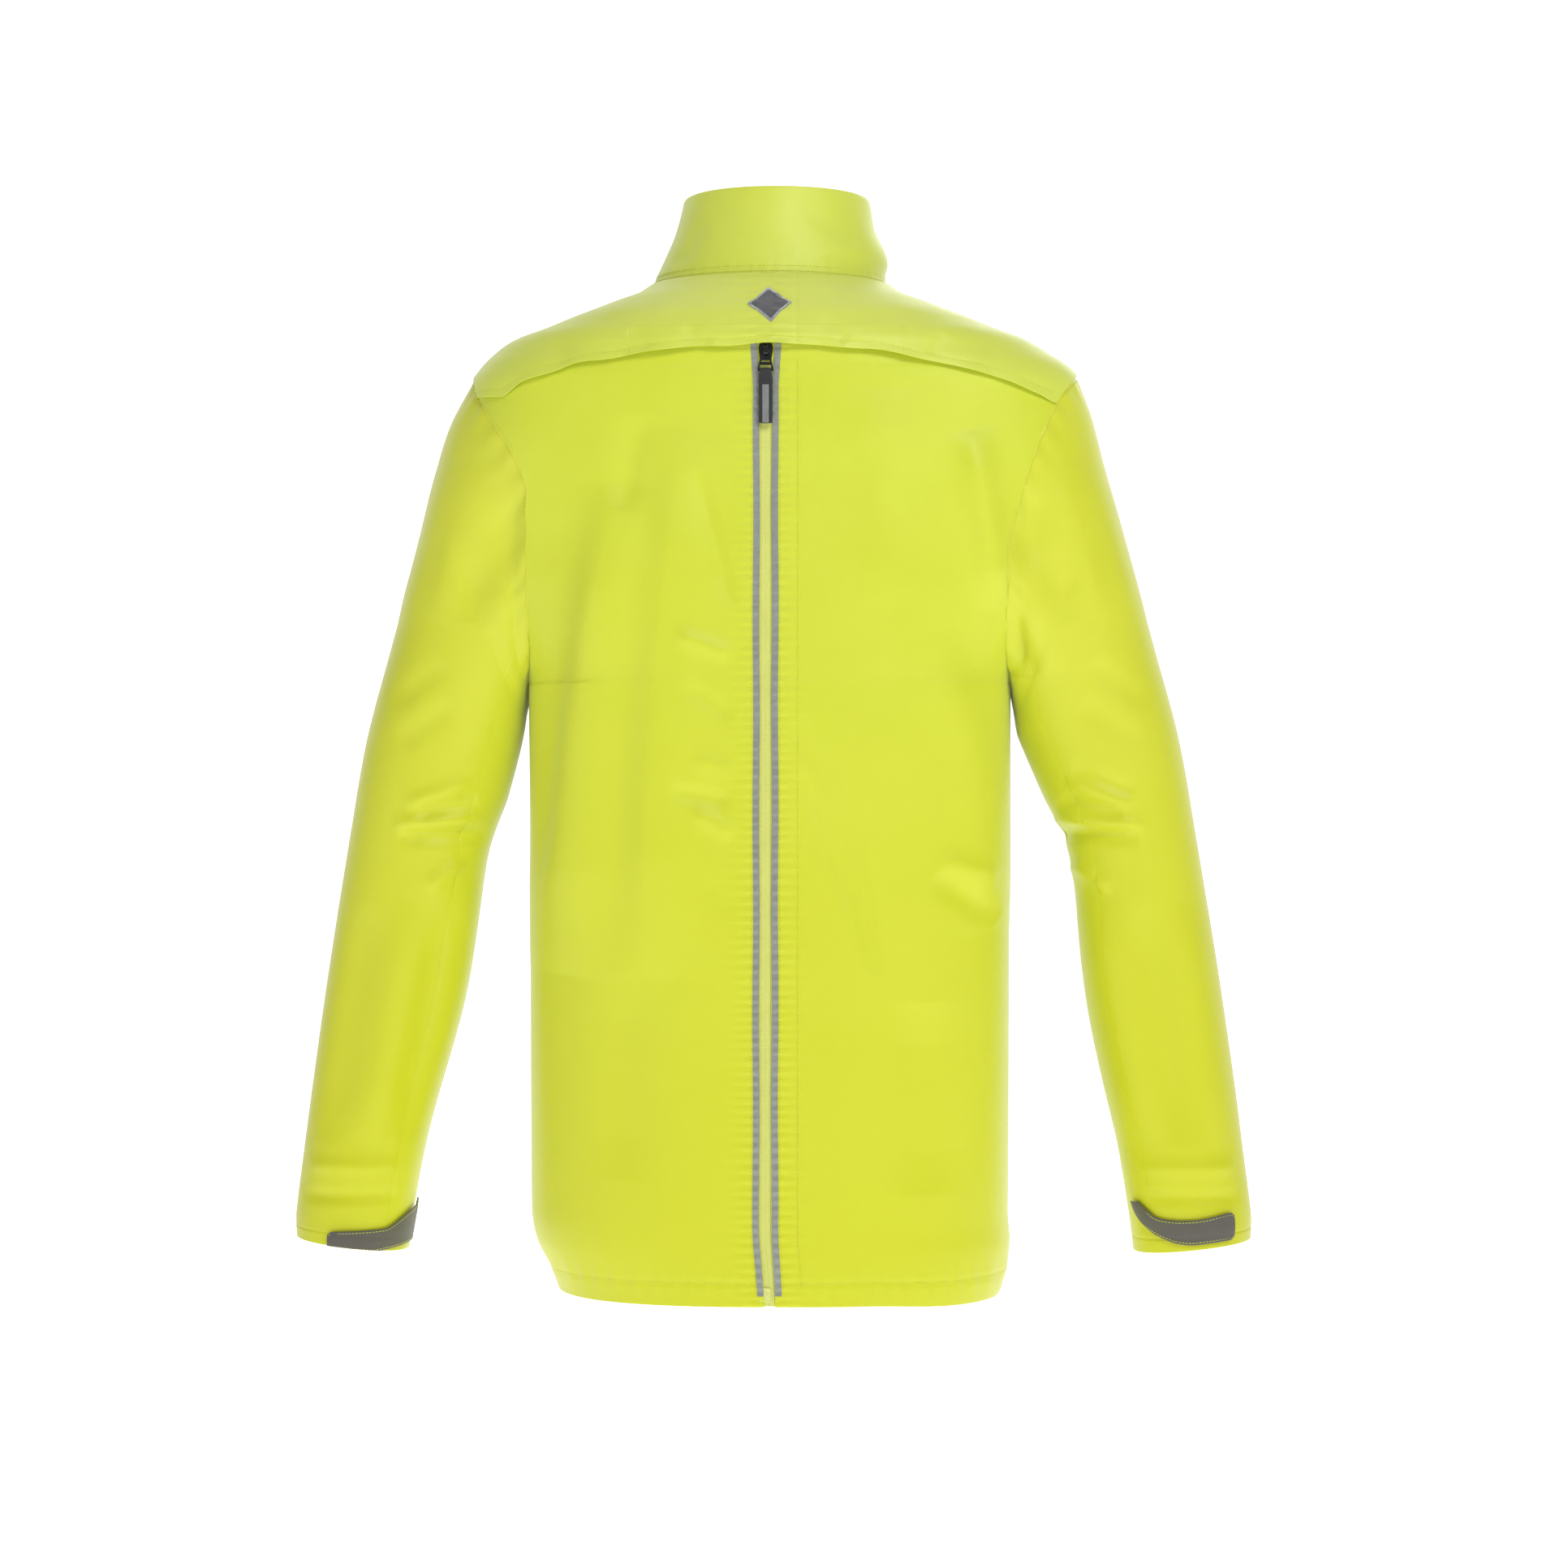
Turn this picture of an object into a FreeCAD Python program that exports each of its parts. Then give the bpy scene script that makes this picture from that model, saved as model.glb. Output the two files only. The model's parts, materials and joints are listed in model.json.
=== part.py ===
import FreeCAD, Part
import math
import os
from FreeCAD import Placement, Rotation, Vector

# High-visibility rain jacket, standing on its hem as if worn. Millimetres.
# +Z is up from the hem, -Y is the wearer's back, +X is the wearer's right.
# The soft panels are thin closed shells; the hardware is at its real size.

SIZES = {
    # fabric
    "cloth_thick": 1.2,
    "lining_thick": 1.0,
    "layer_gap": 0.3,
    # torso
    "torso_half_width": 182,
    "back_at_hem": -136,
    "back_lean": 0.018,
    "front_at_hem": 136,
    "front_lean": 0.075,
    "neck_height": 759,
    "collar_top": 826,
    "collar_gap": 0.6,
    "hem_depth": 17,
    "yoke_raise": 2.0,
    "yoke_lift": 3.5,
    "flap_half_width": 100,
    "flap_hinge_height": 717,
    "flap_clearance": 0.7,
    # zip fasteners
    "edge_to_zip": 4.3,
    "tape_inner_edge": 0.6,
    "tape_outer_edge": 14,
    "tape_depth": 1.7,
    "tape_thick": 0.5,
    "coil_width": 2.4,
    "coil_thick": 1.5,
    "strip_inner_edge": 4.6,
    "strip_width": 4.4,
    "strip_thick": 0.4,
    "back_zip_top": 705,
    "front_zip_top": 822,
    "slider_below_top": 2,
    "pocket_zip_length": 165,
    "pocket_x": 112,
    "pocket_bottom": 112,
    "slider_width": 10.6,
    "slider_length": 13,
    "slider_plate": 1.9,
    "slider_stand_off": 0.85,
    "post_thick": 0.7,
    "inner_plate_thick": 1.2,
    "bridge_width": 3.2,
    "bridge_height": 3.2,
    "bridge_bar": 0.9,
    "puller_width": 8.4,
    "puller_length": 15.5,
    "puller_thick": 1.2,
    "puller_rim": 1.5,
    "tab_width": 9.6,
    "tab_length": 38,
    "tab_thick": 1.1,
    "tab_play": 0.55,
    "tab_stripe_width": 4.6,
    "tab_stripe_length": 28,
    "retainer_width": 7.7,
    "retainer_height": 10.7,
    "retainer_thick": 3.0,
    "pin_length": 9,
    "placket_half_width": 21,
    "placket_depth": 7.5,
    "gusset_half_width": 40,
    "gusset_depth": 7,
    "gusset_thick": 3,
    "bag_depth": 9,
    "bag_thick": 2,
    # trim
    "badge_width": 30,
    "badge_height": 28,
    "badge_thick": 1.0,
    "loop_width": 40,
    "loop_reach": 8,
    "loop_height": 6,
    "loop_band": 1.4,
    "cuff_hem_depth": 24,
}

doc = FreeCAD.newDocument("RainJacket")
sheet = doc.addObject("Spreadsheet::Sheet", "Sizes")
for row, (alias, value) in enumerate(SIZES.items(), 1):
    sheet.set(f"A{row}", alias)
    sheet.set(f"B{row}", str(value))
    sheet.setAlias(f"B{row}", alias)
doc.recompute()


def size(alias):
    """A driving dimension, read back from the sheet."""
    return float(sheet.get(alias))


subparts = []

# Torso rings from hem to neck: height, half width, power of the back half's curve.
TORSO = [
    (0, 171, 2.6),
    (20, 177, 2.6),
    (40, 181, 2.6),
    (280, size("torso_half_width"), 2.6),
    (455, 183, 2.6),
    (540, 226, 2.6),
    (620, 247, 2.6),
    (679, 236.5, 2.5),
    (692, 227.5, 2.4),
    (705.5, 210, 2.3),
    (715, 194.5, 2.3),
    (724, 171.5, 2.2),
    (733.5, 148.5, 2.2),
    (743, 123, 2.1),
    (751, 101, 2.0),
    (size("neck_height"), 90, 2.0),
]
# Where the upper back curves forward to the neck: height, back surface.
UPPER_BACK = [(706, -123.3), (717, -120.4), (726.5, -115), (736, -108.5), (746, -100), (754, -91),
              (759, -83)]
# Collar rings: height, half width, back surface.
COLLAR = [(759, 90, -83), (775, 84, -79), (800, 76, -73), (818, 72.5, -70), (826, 71, -69)]
FRONT_POWER = 2.6

# Sleeve rings, right side: under-arm point (x, z), outer point (x, z), half depth, centre y.
SLEEVE = [
    ((183.5, 455), (230.5, 682), 70, -16),
    ((184.5, 442), (243, 657), 70, -16),
    ((186, 430), (258, 605), 68, -16),
    ((187.5, 420), (275, 545), 65, -15),
    ((190, 408), (292, 483), 62, -14),
    ((200, 372), (311, 412), 58, -13),
    ((221, 322), (324, 339), 54, -11),
    ((240, 211), (342, 229), 50, -8),
    ((266, 99), (358.5, 114), 47, -4),
    ((275, 43), (366.5, 50), 45, -2),
    ((277, 26), (366, 36), 45, -2),
]
SLEEVE_POWER = 2.2

# Free edge of the back yoke, from the centre outwards: (x, z).
YOKE_EDGE = [(0, 703.6), (25, 702.5), (81, 698), (115, 693), (139, 688.5), (151, 683.5), (167, 680.5),
             (184, 676.5), (198, 668.5), (215, 668), (234, 666)]

# The slanting armhole, seen from the back: under-arm point and shoulder point.
ARMHOLE_LOW = (183, 455)
ARMHOLE_HIGH = (230, 682)
FAR = 400
SPAN_STEPS = 14
LEVEL_STEP = 45


def between(table, height):
    """The row of a table at a height, interpolated between its rows."""
    if height <= table[0][0]:
        return table[0][1:]
    for low, high in zip(table, table[1:]):
        if height <= high[0]:
            share = (height - low[0]) / (high[0] - low[0])
            return tuple(a + (b - a) * share for a, b in zip(low[1:], high[1:]))
    return table[-1][1:]


def front_line(height):
    return size("front_at_hem") - size("front_lean") * height


def torso_ring(height):
    """Half width, back, front and back power of the torso at a height."""
    half, power = between(TORSO, height)
    back = size("back_at_hem") + size("back_lean") * height
    if height > UPPER_BACK[0][0]:
        back = between(UPPER_BACK, height)[0]
    return height, half, back, front_line(height), power


def yoke_ring(height):
    """A torso ring for the yoke, lifted off the slope of the shoulders."""
    low = UPPER_BACK[0][0]
    lift = size("yoke_lift") * max(0, height - low) / (size("neck_height") - low)
    return (height + lift,) + torso_ring(height)[1:]


def collar_ring(height):
    half, back = between(COLLAR, height)
    return height, half, back, front_line(height), 2.0


def rounded(value, power):
    """One coordinate of a superellipse from its sine or cosine."""
    return math.copysign(abs(value) ** (2 / power), value)


def ring_point(ring, angle, outset):
    """A point of a ring; angle 0 is the wearer's right, -90 degrees the back."""
    height, half, back, front, back_power = ring
    power = FRONT_POWER if math.sin(angle) > 0 else back_power
    middle = (back + front) / 2
    reach = (front - back) / 2
    return Vector((half + outset) * rounded(math.cos(angle), power),
                  middle + (reach + outset) * rounded(math.sin(angle), power), height)


def angle_at(ring, x, front=False):
    """The angle at which a ring passes x, on its back or its front half."""
    power = FRONT_POWER if front else ring[4]
    turn = math.acos(max(-1.0, min(1.0, math.copysign(abs(x / ring[1]) ** (power / 2), x))))
    return turn if front else -turn


def spline(points):
    curve = Part.BSplineCurve()
    curve.interpolate(Points=points, Parameters=[float(i) for i in range(len(points))])
    return curve.toShape()


def band(outer, inner):
    """A closed thin outline between two rows of points."""
    return Part.Wire([spline(outer), Part.makeLine(outer[-1], inner[-1]),
                      spline(inner[::-1]), Part.makeLine(inner[0], outer[0])])


def heights(table, low, high):
    """The table's own heights between two limits, and more where its rows are far apart."""
    rows = [low] + [row[0] for row in table if low + 3 < row[0] < high - 3] + [high]
    levels = [low]
    for start, end in zip(rows, rows[1:]):
        parts = math.ceil((end - start) / LEVEL_STEP)
        levels += [start + (end - start) * i / parts for i in range(1, parts + 1)]
    return levels


def cloth(ring_of, levels, first, last, outer, thick, steps=SPAN_STEPS):
    """A curved sheet that follows the rings from angle to angle, outer face at an outset."""
    wires = []
    for level in levels:
        ring = ring_of(level)
        start = first(ring)
        end = last(ring)
        angles = [start + (end - start) * i / steps for i in range(steps + 1)]
        wires.append(band([ring_point(ring, a, outer) for a in angles],
                          [ring_point(ring, a, outer - thick) for a in angles]))
    return Part.makeLoft(wires, True, False)


def prism(outline):
    """A block through the whole jacket, front to back, from an outline of (x, z)."""
    corners = [Vector(x, -FAR, z) for x, z in outline]
    face = Part.Face(Part.makePolygon(corners + corners[:1]))
    return face.extrude(Vector(0, 2 * FAR, 0))


def armhole_block(margin):
    """All that lies beyond the right armhole's slanting plane."""
    low_x, low_z = ARMHOLE_LOW
    high_x, high_z = ARMHOLE_HIGH
    return prism([(low_x - margin, low_z - margin), (high_x - margin, high_z), (high_x + 30, high_z + 8),
                  (FAR, high_z + 8), (FAR, low_z - margin)])


def mirrored(shape):
    return shape.mirror(Vector(0, 0, 0), Vector(1, 0, 0))


def add_shape(name, shape, placement=Placement()):
    """A soft sub-part, its shape made from the sheet's sizes."""
    part = doc.addObject("Part::Feature", name)
    part.Label = name
    part.Shape = shape
    part.Placement = placement
    subparts.append(part)
    return part


def add_pair(name, shape):
    """A sub-part and its mirror image."""
    add_shape(name + "_right", shape)
    add_shape(name + "_left", mirrored(shape))


def add_box(name, across, depth, tall, frame, keep=False):
    """A box between two expressions on each axis of a zip's own frame."""
    part = doc.addObject("Part::Box", name)
    part.Label = name
    for side, (low, high) in zip(("Length", "Width", "Height"), (across, depth, tall)):
        part.setExpression(side, f"({high}) - ({low})")
    starts = (across[0], depth[0], tall[0])
    corner = Vector(*(sheet_value(expression) for expression in starts))
    part.Placement = frame.multiply(Placement(corner, Rotation()))
    if keep:
        subparts.append(part)
    return part


def sheet_value(expression):
    """The value of an expression of the sheet's cells."""
    names = {alias: size(alias) for alias in SIZES}
    total = 0.0
    for term in expression.replace("-", "+-").split("+"):
        term = term.strip()
        if not term:
            continue
        product = 1.0
        for factor in term.split("*"):
            factor = factor.strip()
            sign = -1.0 if factor.startswith("-") else 1.0
            word = factor.lstrip("-").strip().replace("Sizes.", "")
            product *= sign * (names[word] if word in names else float(word))
        total += product
    return total


def add_join(name, pieces, kind="Part::MultiFuse"):
    """Pieces joined to one sub-part, or the first cut by the second."""
    part = doc.addObject(kind, name)
    part.Label = name
    if kind == "Part::Cut":
        part.Base, part.Tool = pieces
    else:
        part.Shapes = pieces
    subparts.append(part)
    return part


# ---------------------------------------------------------------- torso
CLOTH = size("cloth_thick")
LINING = size("lining_thick")
GAP = size("layer_gap")
EDGE = size("edge_to_zip")
NECK = size("neck_height")
torso_levels = heights(TORSO, 0, NECK)


def at_x(x, front=False):
    return lambda ring: angle_at(ring, x, front)


def at_angle(degrees):
    return lambda ring: math.radians(degrees)


def round_to(x):
    """The angle of the far side's edge, a whole turn round the back."""
    return lambda ring: angle_at(ring, -x, True) - 2 * math.pi


def surface_y(x, height, front=True):
    ring = torso_ring(height)
    return ring_point(ring, angle_at(ring, x, front), 0).y


def zip_frame(x, bottom, tall, front=True):
    """The frame of a straight zip: Z up the zip, -Y out of the cloth, base on the cloth."""
    low = surface_y(x, bottom, front)
    lean = -math.degrees(math.atan((surface_y(x, bottom + tall, front) - low) / tall))
    spin = 0.0
    if front:
        slope = (surface_y(x + 1, bottom) - surface_y(x - 1, bottom)) / 2
        spin = 180 + math.degrees(math.atan(slope))
        lean = -lean
    turned = Rotation(Vector(0, 0, 1), spin).multiply(Rotation(Vector(1, 0, 0), lean))
    return Placement(Vector(x, low, bottom), turned)


back_frame = zip_frame(0, 0, UPPER_BACK[0][0], False)
front_frame = zip_frame(0, 0, NECK)
pocket_frames = {}
for side, sign in (("right", 1), ("left", -1)):
    pocket_frames[side] = zip_frame(sign * size("pocket_x"), size("pocket_bottom"),
                                    size("pocket_zip_length"))


def make_torso():
    armhole = armhole_block(0)
    back = cloth(torso_ring, torso_levels, at_x(EDGE), at_angle(-0.2), 0, CLOTH)
    add_pair("back_panel", back.cut(armhole))
    front = cloth(torso_ring, torso_levels, at_angle(0.2), at_x(EDGE, True), 0, CLOTH).cut(armhole)
    slot = Part.makeBox(2 * EDGE, 12, size("pocket_zip_length"), Vector(-EDGE, -6, 0))
    slot.Placement = pocket_frames["right"].multiply(slot.Placement)
    add_pair("front_panel", front.cut(slot))


def make_hem():
    inside = -(CLOTH + GAP)
    start = size("tape_outer_edge") + 1
    shape = cloth(torso_ring, heights(TORSO, 0, size("hem_depth")), at_x(start), at_x(start, True),
                  inside, LINING, 2 * SPAN_STEPS)
    add_pair("hem_facing", shape)


def make_yoke():
    """The raised back yoke and the centre of its free edge, which lifts."""
    raise_by = size("yoke_raise") + CLOTH
    levels = [level for level in torso_levels if level >= TORSO[5][0] and level <= TORSO[-2][0]]
    over = cloth(yoke_ring, levels, at_angle(-4), at_angle(-176), raise_by, CLOTH, 2 * SPAN_STEPS)
    left_edge = [(-x, z) for x, z in YOKE_EDGE[:0:-1]]
    below = prism(left_edge + YOKE_EDGE + [(FAR, YOKE_EDGE[-1][1]), (FAR, 500), (-FAR, 500),
                                           (-FAR, YOKE_EDGE[-1][1])])
    for block in (armhole_block(3), mirrored(armhole_block(3)), below):
        over = over.cut(block)
    half = size("flap_half_width")
    hinge = size("flap_hinge_height")
    space = size("flap_clearance")
    opening = prism([(-half, 500), (half, 500), (half, hinge), (-half, hinge)])
    inner = prism([(-half + space, 500), (half - space, 500), (half - space, hinge - space),
                   (-half + space, hinge - space)])
    add_shape("back_yoke", over.cut(opening))
    add_shape("yoke_flap", over.common(inner))


def make_collar():
    low = NECK + size("collar_gap")
    high = size("collar_top")
    levels = [low] + [row[0] for row in COLLAR[1:-1]] + [high]
    layers = (("collar_outer", EDGE, 0, CLOTH),
              ("collar_lining", size("tape_outer_edge") + 1, -(CLOTH + GAP), LINING))
    for name, start, outset, thick in layers:
        shape = cloth(collar_ring, levels, at_x(start, True), round_to(start), outset, thick,
                      3 * SPAN_STEPS)
        add_shape(name, shape)


def make_inner_layers():
    """Folded gusset behind the back zip, storm placket behind the front zip, pocket bags."""
    half = size("gusset_half_width")
    add_shape("back_gusset", cloth(torso_ring, heights(TORSO, 20, 680), at_x(half), at_x(-half),
                                   -size("gusset_depth"), size("gusset_thick")))
    add_box("front_placket", ("-Sizes.placket_half_width", "Sizes.placket_half_width"),
            ("Sizes.placket_depth", "Sizes.placket_depth + Sizes.lining_thick"),
            ("4", "Sizes.front_zip_top - 4"), front_frame, keep=True)
    bag = cloth(torso_ring, heights(TORSO, 70, 300), at_x(size("pocket_x") + 14, True), at_x(40, True),
                -size("bag_depth"), size("bag_thick"))
    add_pair("pocket_bag", bag)


# ---------------------------------------------------------------- sleeves
def sleeve_point(ring, angle, outset):
    """A point of a sleeve ring; angle 0 is the outside of the arm, -90 degrees its back."""
    (low_x, low_z), (high_x, high_z), depth, middle_y = ring
    across = Vector(high_x - low_x, 0, high_z - low_z)
    centre = Vector((high_x + low_x) / 2, middle_y, (high_z + low_z) / 2)
    half = across.Length / 2 + outset
    across.normalize()
    return (centre + across * (half * rounded(math.cos(angle), SLEEVE_POWER))
            + Vector(0, (depth + outset) * rounded(math.sin(angle), SLEEVE_POWER), 0))


def blend_ring(low, high, share):
    pairs = [tuple(a + (b - a) * share for a, b in zip(low[i], high[i])) for i in (0, 1)]
    return pairs[0], pairs[1], low[2] + (high[2] - low[2]) * share, low[3] + (high[3] - low[3]) * share


def sleeve_cloth(rings, first, last, outer, thick, steps=2 * SPAN_STEPS):
    wires = []
    for ring in rings:
        angles = [math.radians(first + (last - first) * i / steps) for i in range(steps + 1)]
        wires.append(band([sleeve_point(ring, a, outer) for a in angles],
                          [sleeve_point(ring, a, outer - thick) for a in angles]))
    return Part.makeLoft(wires, True, False)


UNDER_ARM = 130
tab_low = blend_ring(SLEEVE[-2], SLEEVE[-1], 0.95)
tab_high = blend_ring(SLEEVE[-3], SLEEVE[-2], 0.86)
TAB_SEWN_ANGLE = -168
TAB_FREE_ANGLE = -62


def make_sleeves():
    add_pair("upper_sleeve", sleeve_cloth(SLEEVE, -UNDER_ARM + 0.4, UNDER_ARM - 0.4, 0, CLOTH))
    add_pair("under_sleeve", sleeve_cloth(SLEEVE, UNDER_ARM, 360 - UNDER_ARM, 0, CLOTH, SPAN_STEPS))
    inside = sleeve_cloth(SLEEVE, -UNDER_ARM, 360 - UNDER_ARM - 4, -(CLOTH + GAP), LINING)
    low = SLEEVE[-1][0][1]
    top = low + size("cuff_hem_depth")
    end = prism([(0, low - 10), (FAR, low - 10), (FAR, top + 12), (0, top - 12)])
    add_pair("cuff_hem", inside.common(end))
    tab_rings = [tab_high, tab_low]
    add_pair("cuff_loop_patch", sleeve_cloth(tab_rings, -120, TAB_FREE_ANGLE - 4, 0.1 + 0.7, 0.7))
    add_pair("cuff_hook_patch", sleeve_cloth(tab_rings, -100, TAB_FREE_ANGLE - 2, 1.2 + 0.7, 0.7))
    add_pair("cuff_tab", sleeve_cloth(tab_rings, TAB_SEWN_ANGLE, TAB_FREE_ANGLE, 2.0 + CLOTH, CLOTH))


# ---------------------------------------------------------------- zip fasteners
def zip_chain(name, frame, low, high, handed):
    """Tapes and coils of one zip. handed: the two halves are separate nodes."""
    tape_back = "Sizes.tape_depth + Sizes.tape_thick"
    tape = ("Sizes.tape_depth", tape_back)
    coil = (tape_back + " + 0.05", tape_back + " + Sizes.coil_thick")
    near = "Sizes.tape_inner_edge"
    coil_far = "Sizes.tape_inner_edge + Sizes.coil_width"
    sides = ("left", "right") if frame is front_frame else ("right", "left")
    if handed:
        for kind, far, depth in (("tape", "Sizes.tape_outer_edge", tape), ("coil", coil_far, coil)):
            add_box(f"{name}_{kind}_{sides[0]}", (near, far), depth, (low, high), frame, keep=True)
            add_box(f"{name}_{kind}_{sides[1]}", (negate(far), negate(near)), depth, (low, high), frame,
                    keep=True)
        return
    pieces = []
    for kind, far, depth in (("tape", "Sizes.tape_outer_edge - 5", tape), ("coil", coil_far, coil)):
        pair = [add_box(f"{name}_{kind}_a", (near, far), depth, (low, high), frame),
                add_box(f"{name}_{kind}_b", (negate(far), negate(near)), depth, (low, high), frame)]
        pieces.append(pair)
    for kind, pair in zip(("tape", "coil"), pieces):
        group = doc.addObject("Part::Compound", f"{name}_{kind}")
        group.Label = f"{name}_{kind}"
        group.Links = pair
        subparts.append(group)


def negate(expression):
    """An expression of the sheet with every term's sign turned."""
    flipped = expression.replace("-", "~").replace("+", "-").replace("~", "+")
    return "-" + flipped


def make_slider(name, frame, top):
    """Outer plate, post, inner plate and bridge; top is the slider's upper end along the zip."""
    low = f"{top} - Sizes.slider_length"
    half = "0.5 * Sizes.slider_width"
    face = "-Sizes.slider_stand_off"
    outer = f"{face} - Sizes.slider_plate"
    inner = "Sizes.tape_depth + Sizes.tape_thick + Sizes.coil_thick + 0.4"
    post_half = "0.5 * Sizes.post_thick"
    bridge_half = "0.5 * Sizes.bridge_width"
    bridge_low = f"{top} - 9"
    bridge_high = f"{top} - 2"
    pieces = [
        add_box(name + "_outer_plate", ("-" + half, half), (outer, face), (low, top), frame),
        add_box(name + "_inner_plate", ("-" + half, half), (inner, inner + " + Sizes.inner_plate_thick"),
                (low, top), frame),
        add_box(name + "_post", ("-" + post_half, post_half), (face + " - 0.5", inner + " + 0.5"),
                (f"{top} - 4", top), frame),
    ]
    block = add_box(name + "_bridge_block", ("-" + bridge_half, bridge_half),
                    (f"{outer} - Sizes.bridge_height", outer + " + 0.4"), (bridge_low, bridge_high), frame)
    window = add_box(name + "_bridge_window", ("-" + bridge_half + " - 1", bridge_half + " + 1"),
                     (f"{outer} - Sizes.bridge_height + Sizes.bridge_bar", outer),
                     (f"{bridge_low} + Sizes.bridge_bar", f"{bridge_high} - Sizes.bridge_bar"), frame)
    bridge = doc.addObject("Part::Cut", name + "_bridge")
    bridge.Base = block
    bridge.Tool = window
    add_join(name, pieces + [bridge])


def add_plate(name, outline, holes, thick, frame, offset):
    """A flat plate padded from a sketch in the zip's XZ plane, with rectangular holes."""
    body = doc.addObject("PartDesign::Body", name)
    body.Label = name
    sketch = body.newObject("Sketcher::SketchObject", name + "_outline")
    plane = [f for f in body.Origin.OriginFeatures if f.Role == "XZ_Plane"][0]
    sketch.AttachmentSupport = [(plane, "")]
    sketch.MapMode = "FlatFace"
    for loop in [outline] + holes:
        points = [Vector(x, z, 0) for x, z in loop]
        for start, end in zip(points, points[1:] + points[:1]):
            sketch.addGeometry(Part.LineSegment(start, end), False)
    pad = body.newObject("PartDesign::Pad", name + "_pad")
    pad.Profile = sketch
    pad.setExpression("Length", thick)
    pad.Midplane = True
    body.Placement = frame.multiply(Placement(offset, Rotation()))
    subparts.append(body)
    return body


def chamfered(half, low, high, cut):
    """A plate outline with its corners cut."""
    return [(-half + cut, low), (half - cut, low), (half, low + cut), (half, high - cut),
            (half - cut, high), (-half + cut, high), (-half, high - cut), (-half, low + cut)]


def puller_hinge(top):
    """The puller's hinge in a zip's frame: the middle of the bridge's window."""
    depth = -(size("slider_stand_off") + size("slider_plate") + size("bridge_height") / 2
              - size("bridge_bar") / 2)
    return Vector(0, depth, top - 9 + size("bridge_bar") + 1.15)


def make_puller(name, frame, top):
    """A plate with a window round the slider's bridge and a slot for the webbing."""
    hinge = puller_hinge(top)
    half = size("puller_width") / 2
    rim = size("puller_rim")
    long = size("puller_length")
    outline = chamfered(half, -long + 0.6, 0.6, 1.2)
    eye = [(-half + rim, -3.4), (half - rim, -3.4), (half - rim, -0.6), (-half + rim, -0.6)]
    slot_low = -long + 0.6 + rim
    slot = [(-half + 1.1, slot_low), (half - 1.1, slot_low), (half - 1.1, slot_low + 2.6),
            (-half + 1.1, slot_low + 2.6)]
    add_plate(name, outline, [eye, slot], "Sizes.puller_thick", frame, hinge)
    return hinge


def tab_hinge(top):
    """The webbing tab's hinge: the puller's lowest bar."""
    return puller_hinge(top) + Vector(0, 0, -size("puller_length") + 0.6 + size("puller_rim") / 2)


def make_tab(name, frame, top):
    """Folded webbing looped through the puller's slot, with a reflective stripe."""
    hinge = tab_hinge(top)
    half = "0.5 * Sizes.tab_width"
    front = -size("puller_thick") / 2 - size("tab_play") - size("tab_thick") + hinge.y
    back = size("puller_thick") / 2 + size("tab_play") + hinge.y
    top_end = hinge.z + 1.2
    skin = size("tab_thick")
    block = add_box(name + "_block", ("-0.5 * Sizes.tab_width + 1.9", "0.5 * Sizes.tab_width - 1.9"),
                    (f"{front:.4f}", f"{back + skin:.4f}"), (f"{hinge.z - 4:.4f}", f"{top_end + skin:.4f}"),
                    frame)
    hollow = add_box(name + "_hollow", ("-" + half, half), (f"{front + skin:.4f}", f"{back:.4f}"),
                     (f"{hinge.z - 6:.4f}", f"{top_end:.4f}"), frame)
    neck = doc.addObject("Part::Cut", name + "_loop")
    neck.Base = block
    neck.Tool = hollow
    flat = add_box(name + "_flat", ("-" + half, half), (f"{front:.4f}", f"{back + skin:.4f}"),
                   (f"{hinge.z} - Sizes.tab_length", f"{hinge.z - 2.2:.4f}"), frame)
    add_join(name, [neck, flat])
    return front


# ---------------------------------------------------------------- assembly
def make_back_zip():
    zip_chain("back_zip", back_frame, "3", "Sizes.back_zip_top", True)
    near = "Sizes.strip_inner_edge"
    far = "Sizes.strip_inner_edge + Sizes.strip_width"
    depth = ("-0.1 - Sizes.strip_thick", "-0.1")
    tall = ("9", "688")
    add_box("reflective_strip_right", (near, far), depth, tall, back_frame, keep=True)
    add_box("reflective_strip_left", (negate(far), negate(near)), depth, tall, back_frame, keep=True)
    top = size("back_zip_top") - size("slider_below_top")
    make_slider("back_slider", back_frame, "Sizes.back_zip_top - Sizes.slider_below_top")
    make_puller("back_puller", back_frame, top)
    front = make_tab("back_pull_tab", back_frame, top)
    low = tab_hinge(top).z - size("tab_length") + 2
    add_box("pull_tab_stripe", ("-0.5 * Sizes.tab_stripe_width", "0.5 * Sizes.tab_stripe_width"),
            (f"{front - 0.3:.4f}", f"{front:.4f}"), (f"{low:.4f}", f"{low:.4f} + Sizes.tab_stripe_length"),
            back_frame, keep=True)
    add_retainer("back", back_frame)


def add_retainer(name, frame):
    """Retainer box on one tape and the insertion pin of the other, side by side at the hem."""
    depth_low = "Sizes.tape_depth - 0.5 * Sizes.retainer_thick"
    depth_high = "Sizes.tape_depth - 0.1"
    add_box(name + "_retainer_box", ("-0.5 * Sizes.retainer_width", "0.5 * Sizes.retainer_width"),
            (depth_low, depth_high), ("3", "3 + Sizes.retainer_height"), frame, keep=True)
    behind = "Sizes.tape_depth + Sizes.tape_thick + Sizes.coil_thick"
    add_box(name + "_insertion_pin", ("0.8", "2.4"), (behind + " + 0.1", behind + " + 1.3"),
            ("3", "3 + Sizes.pin_length"), frame, keep=True)


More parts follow.
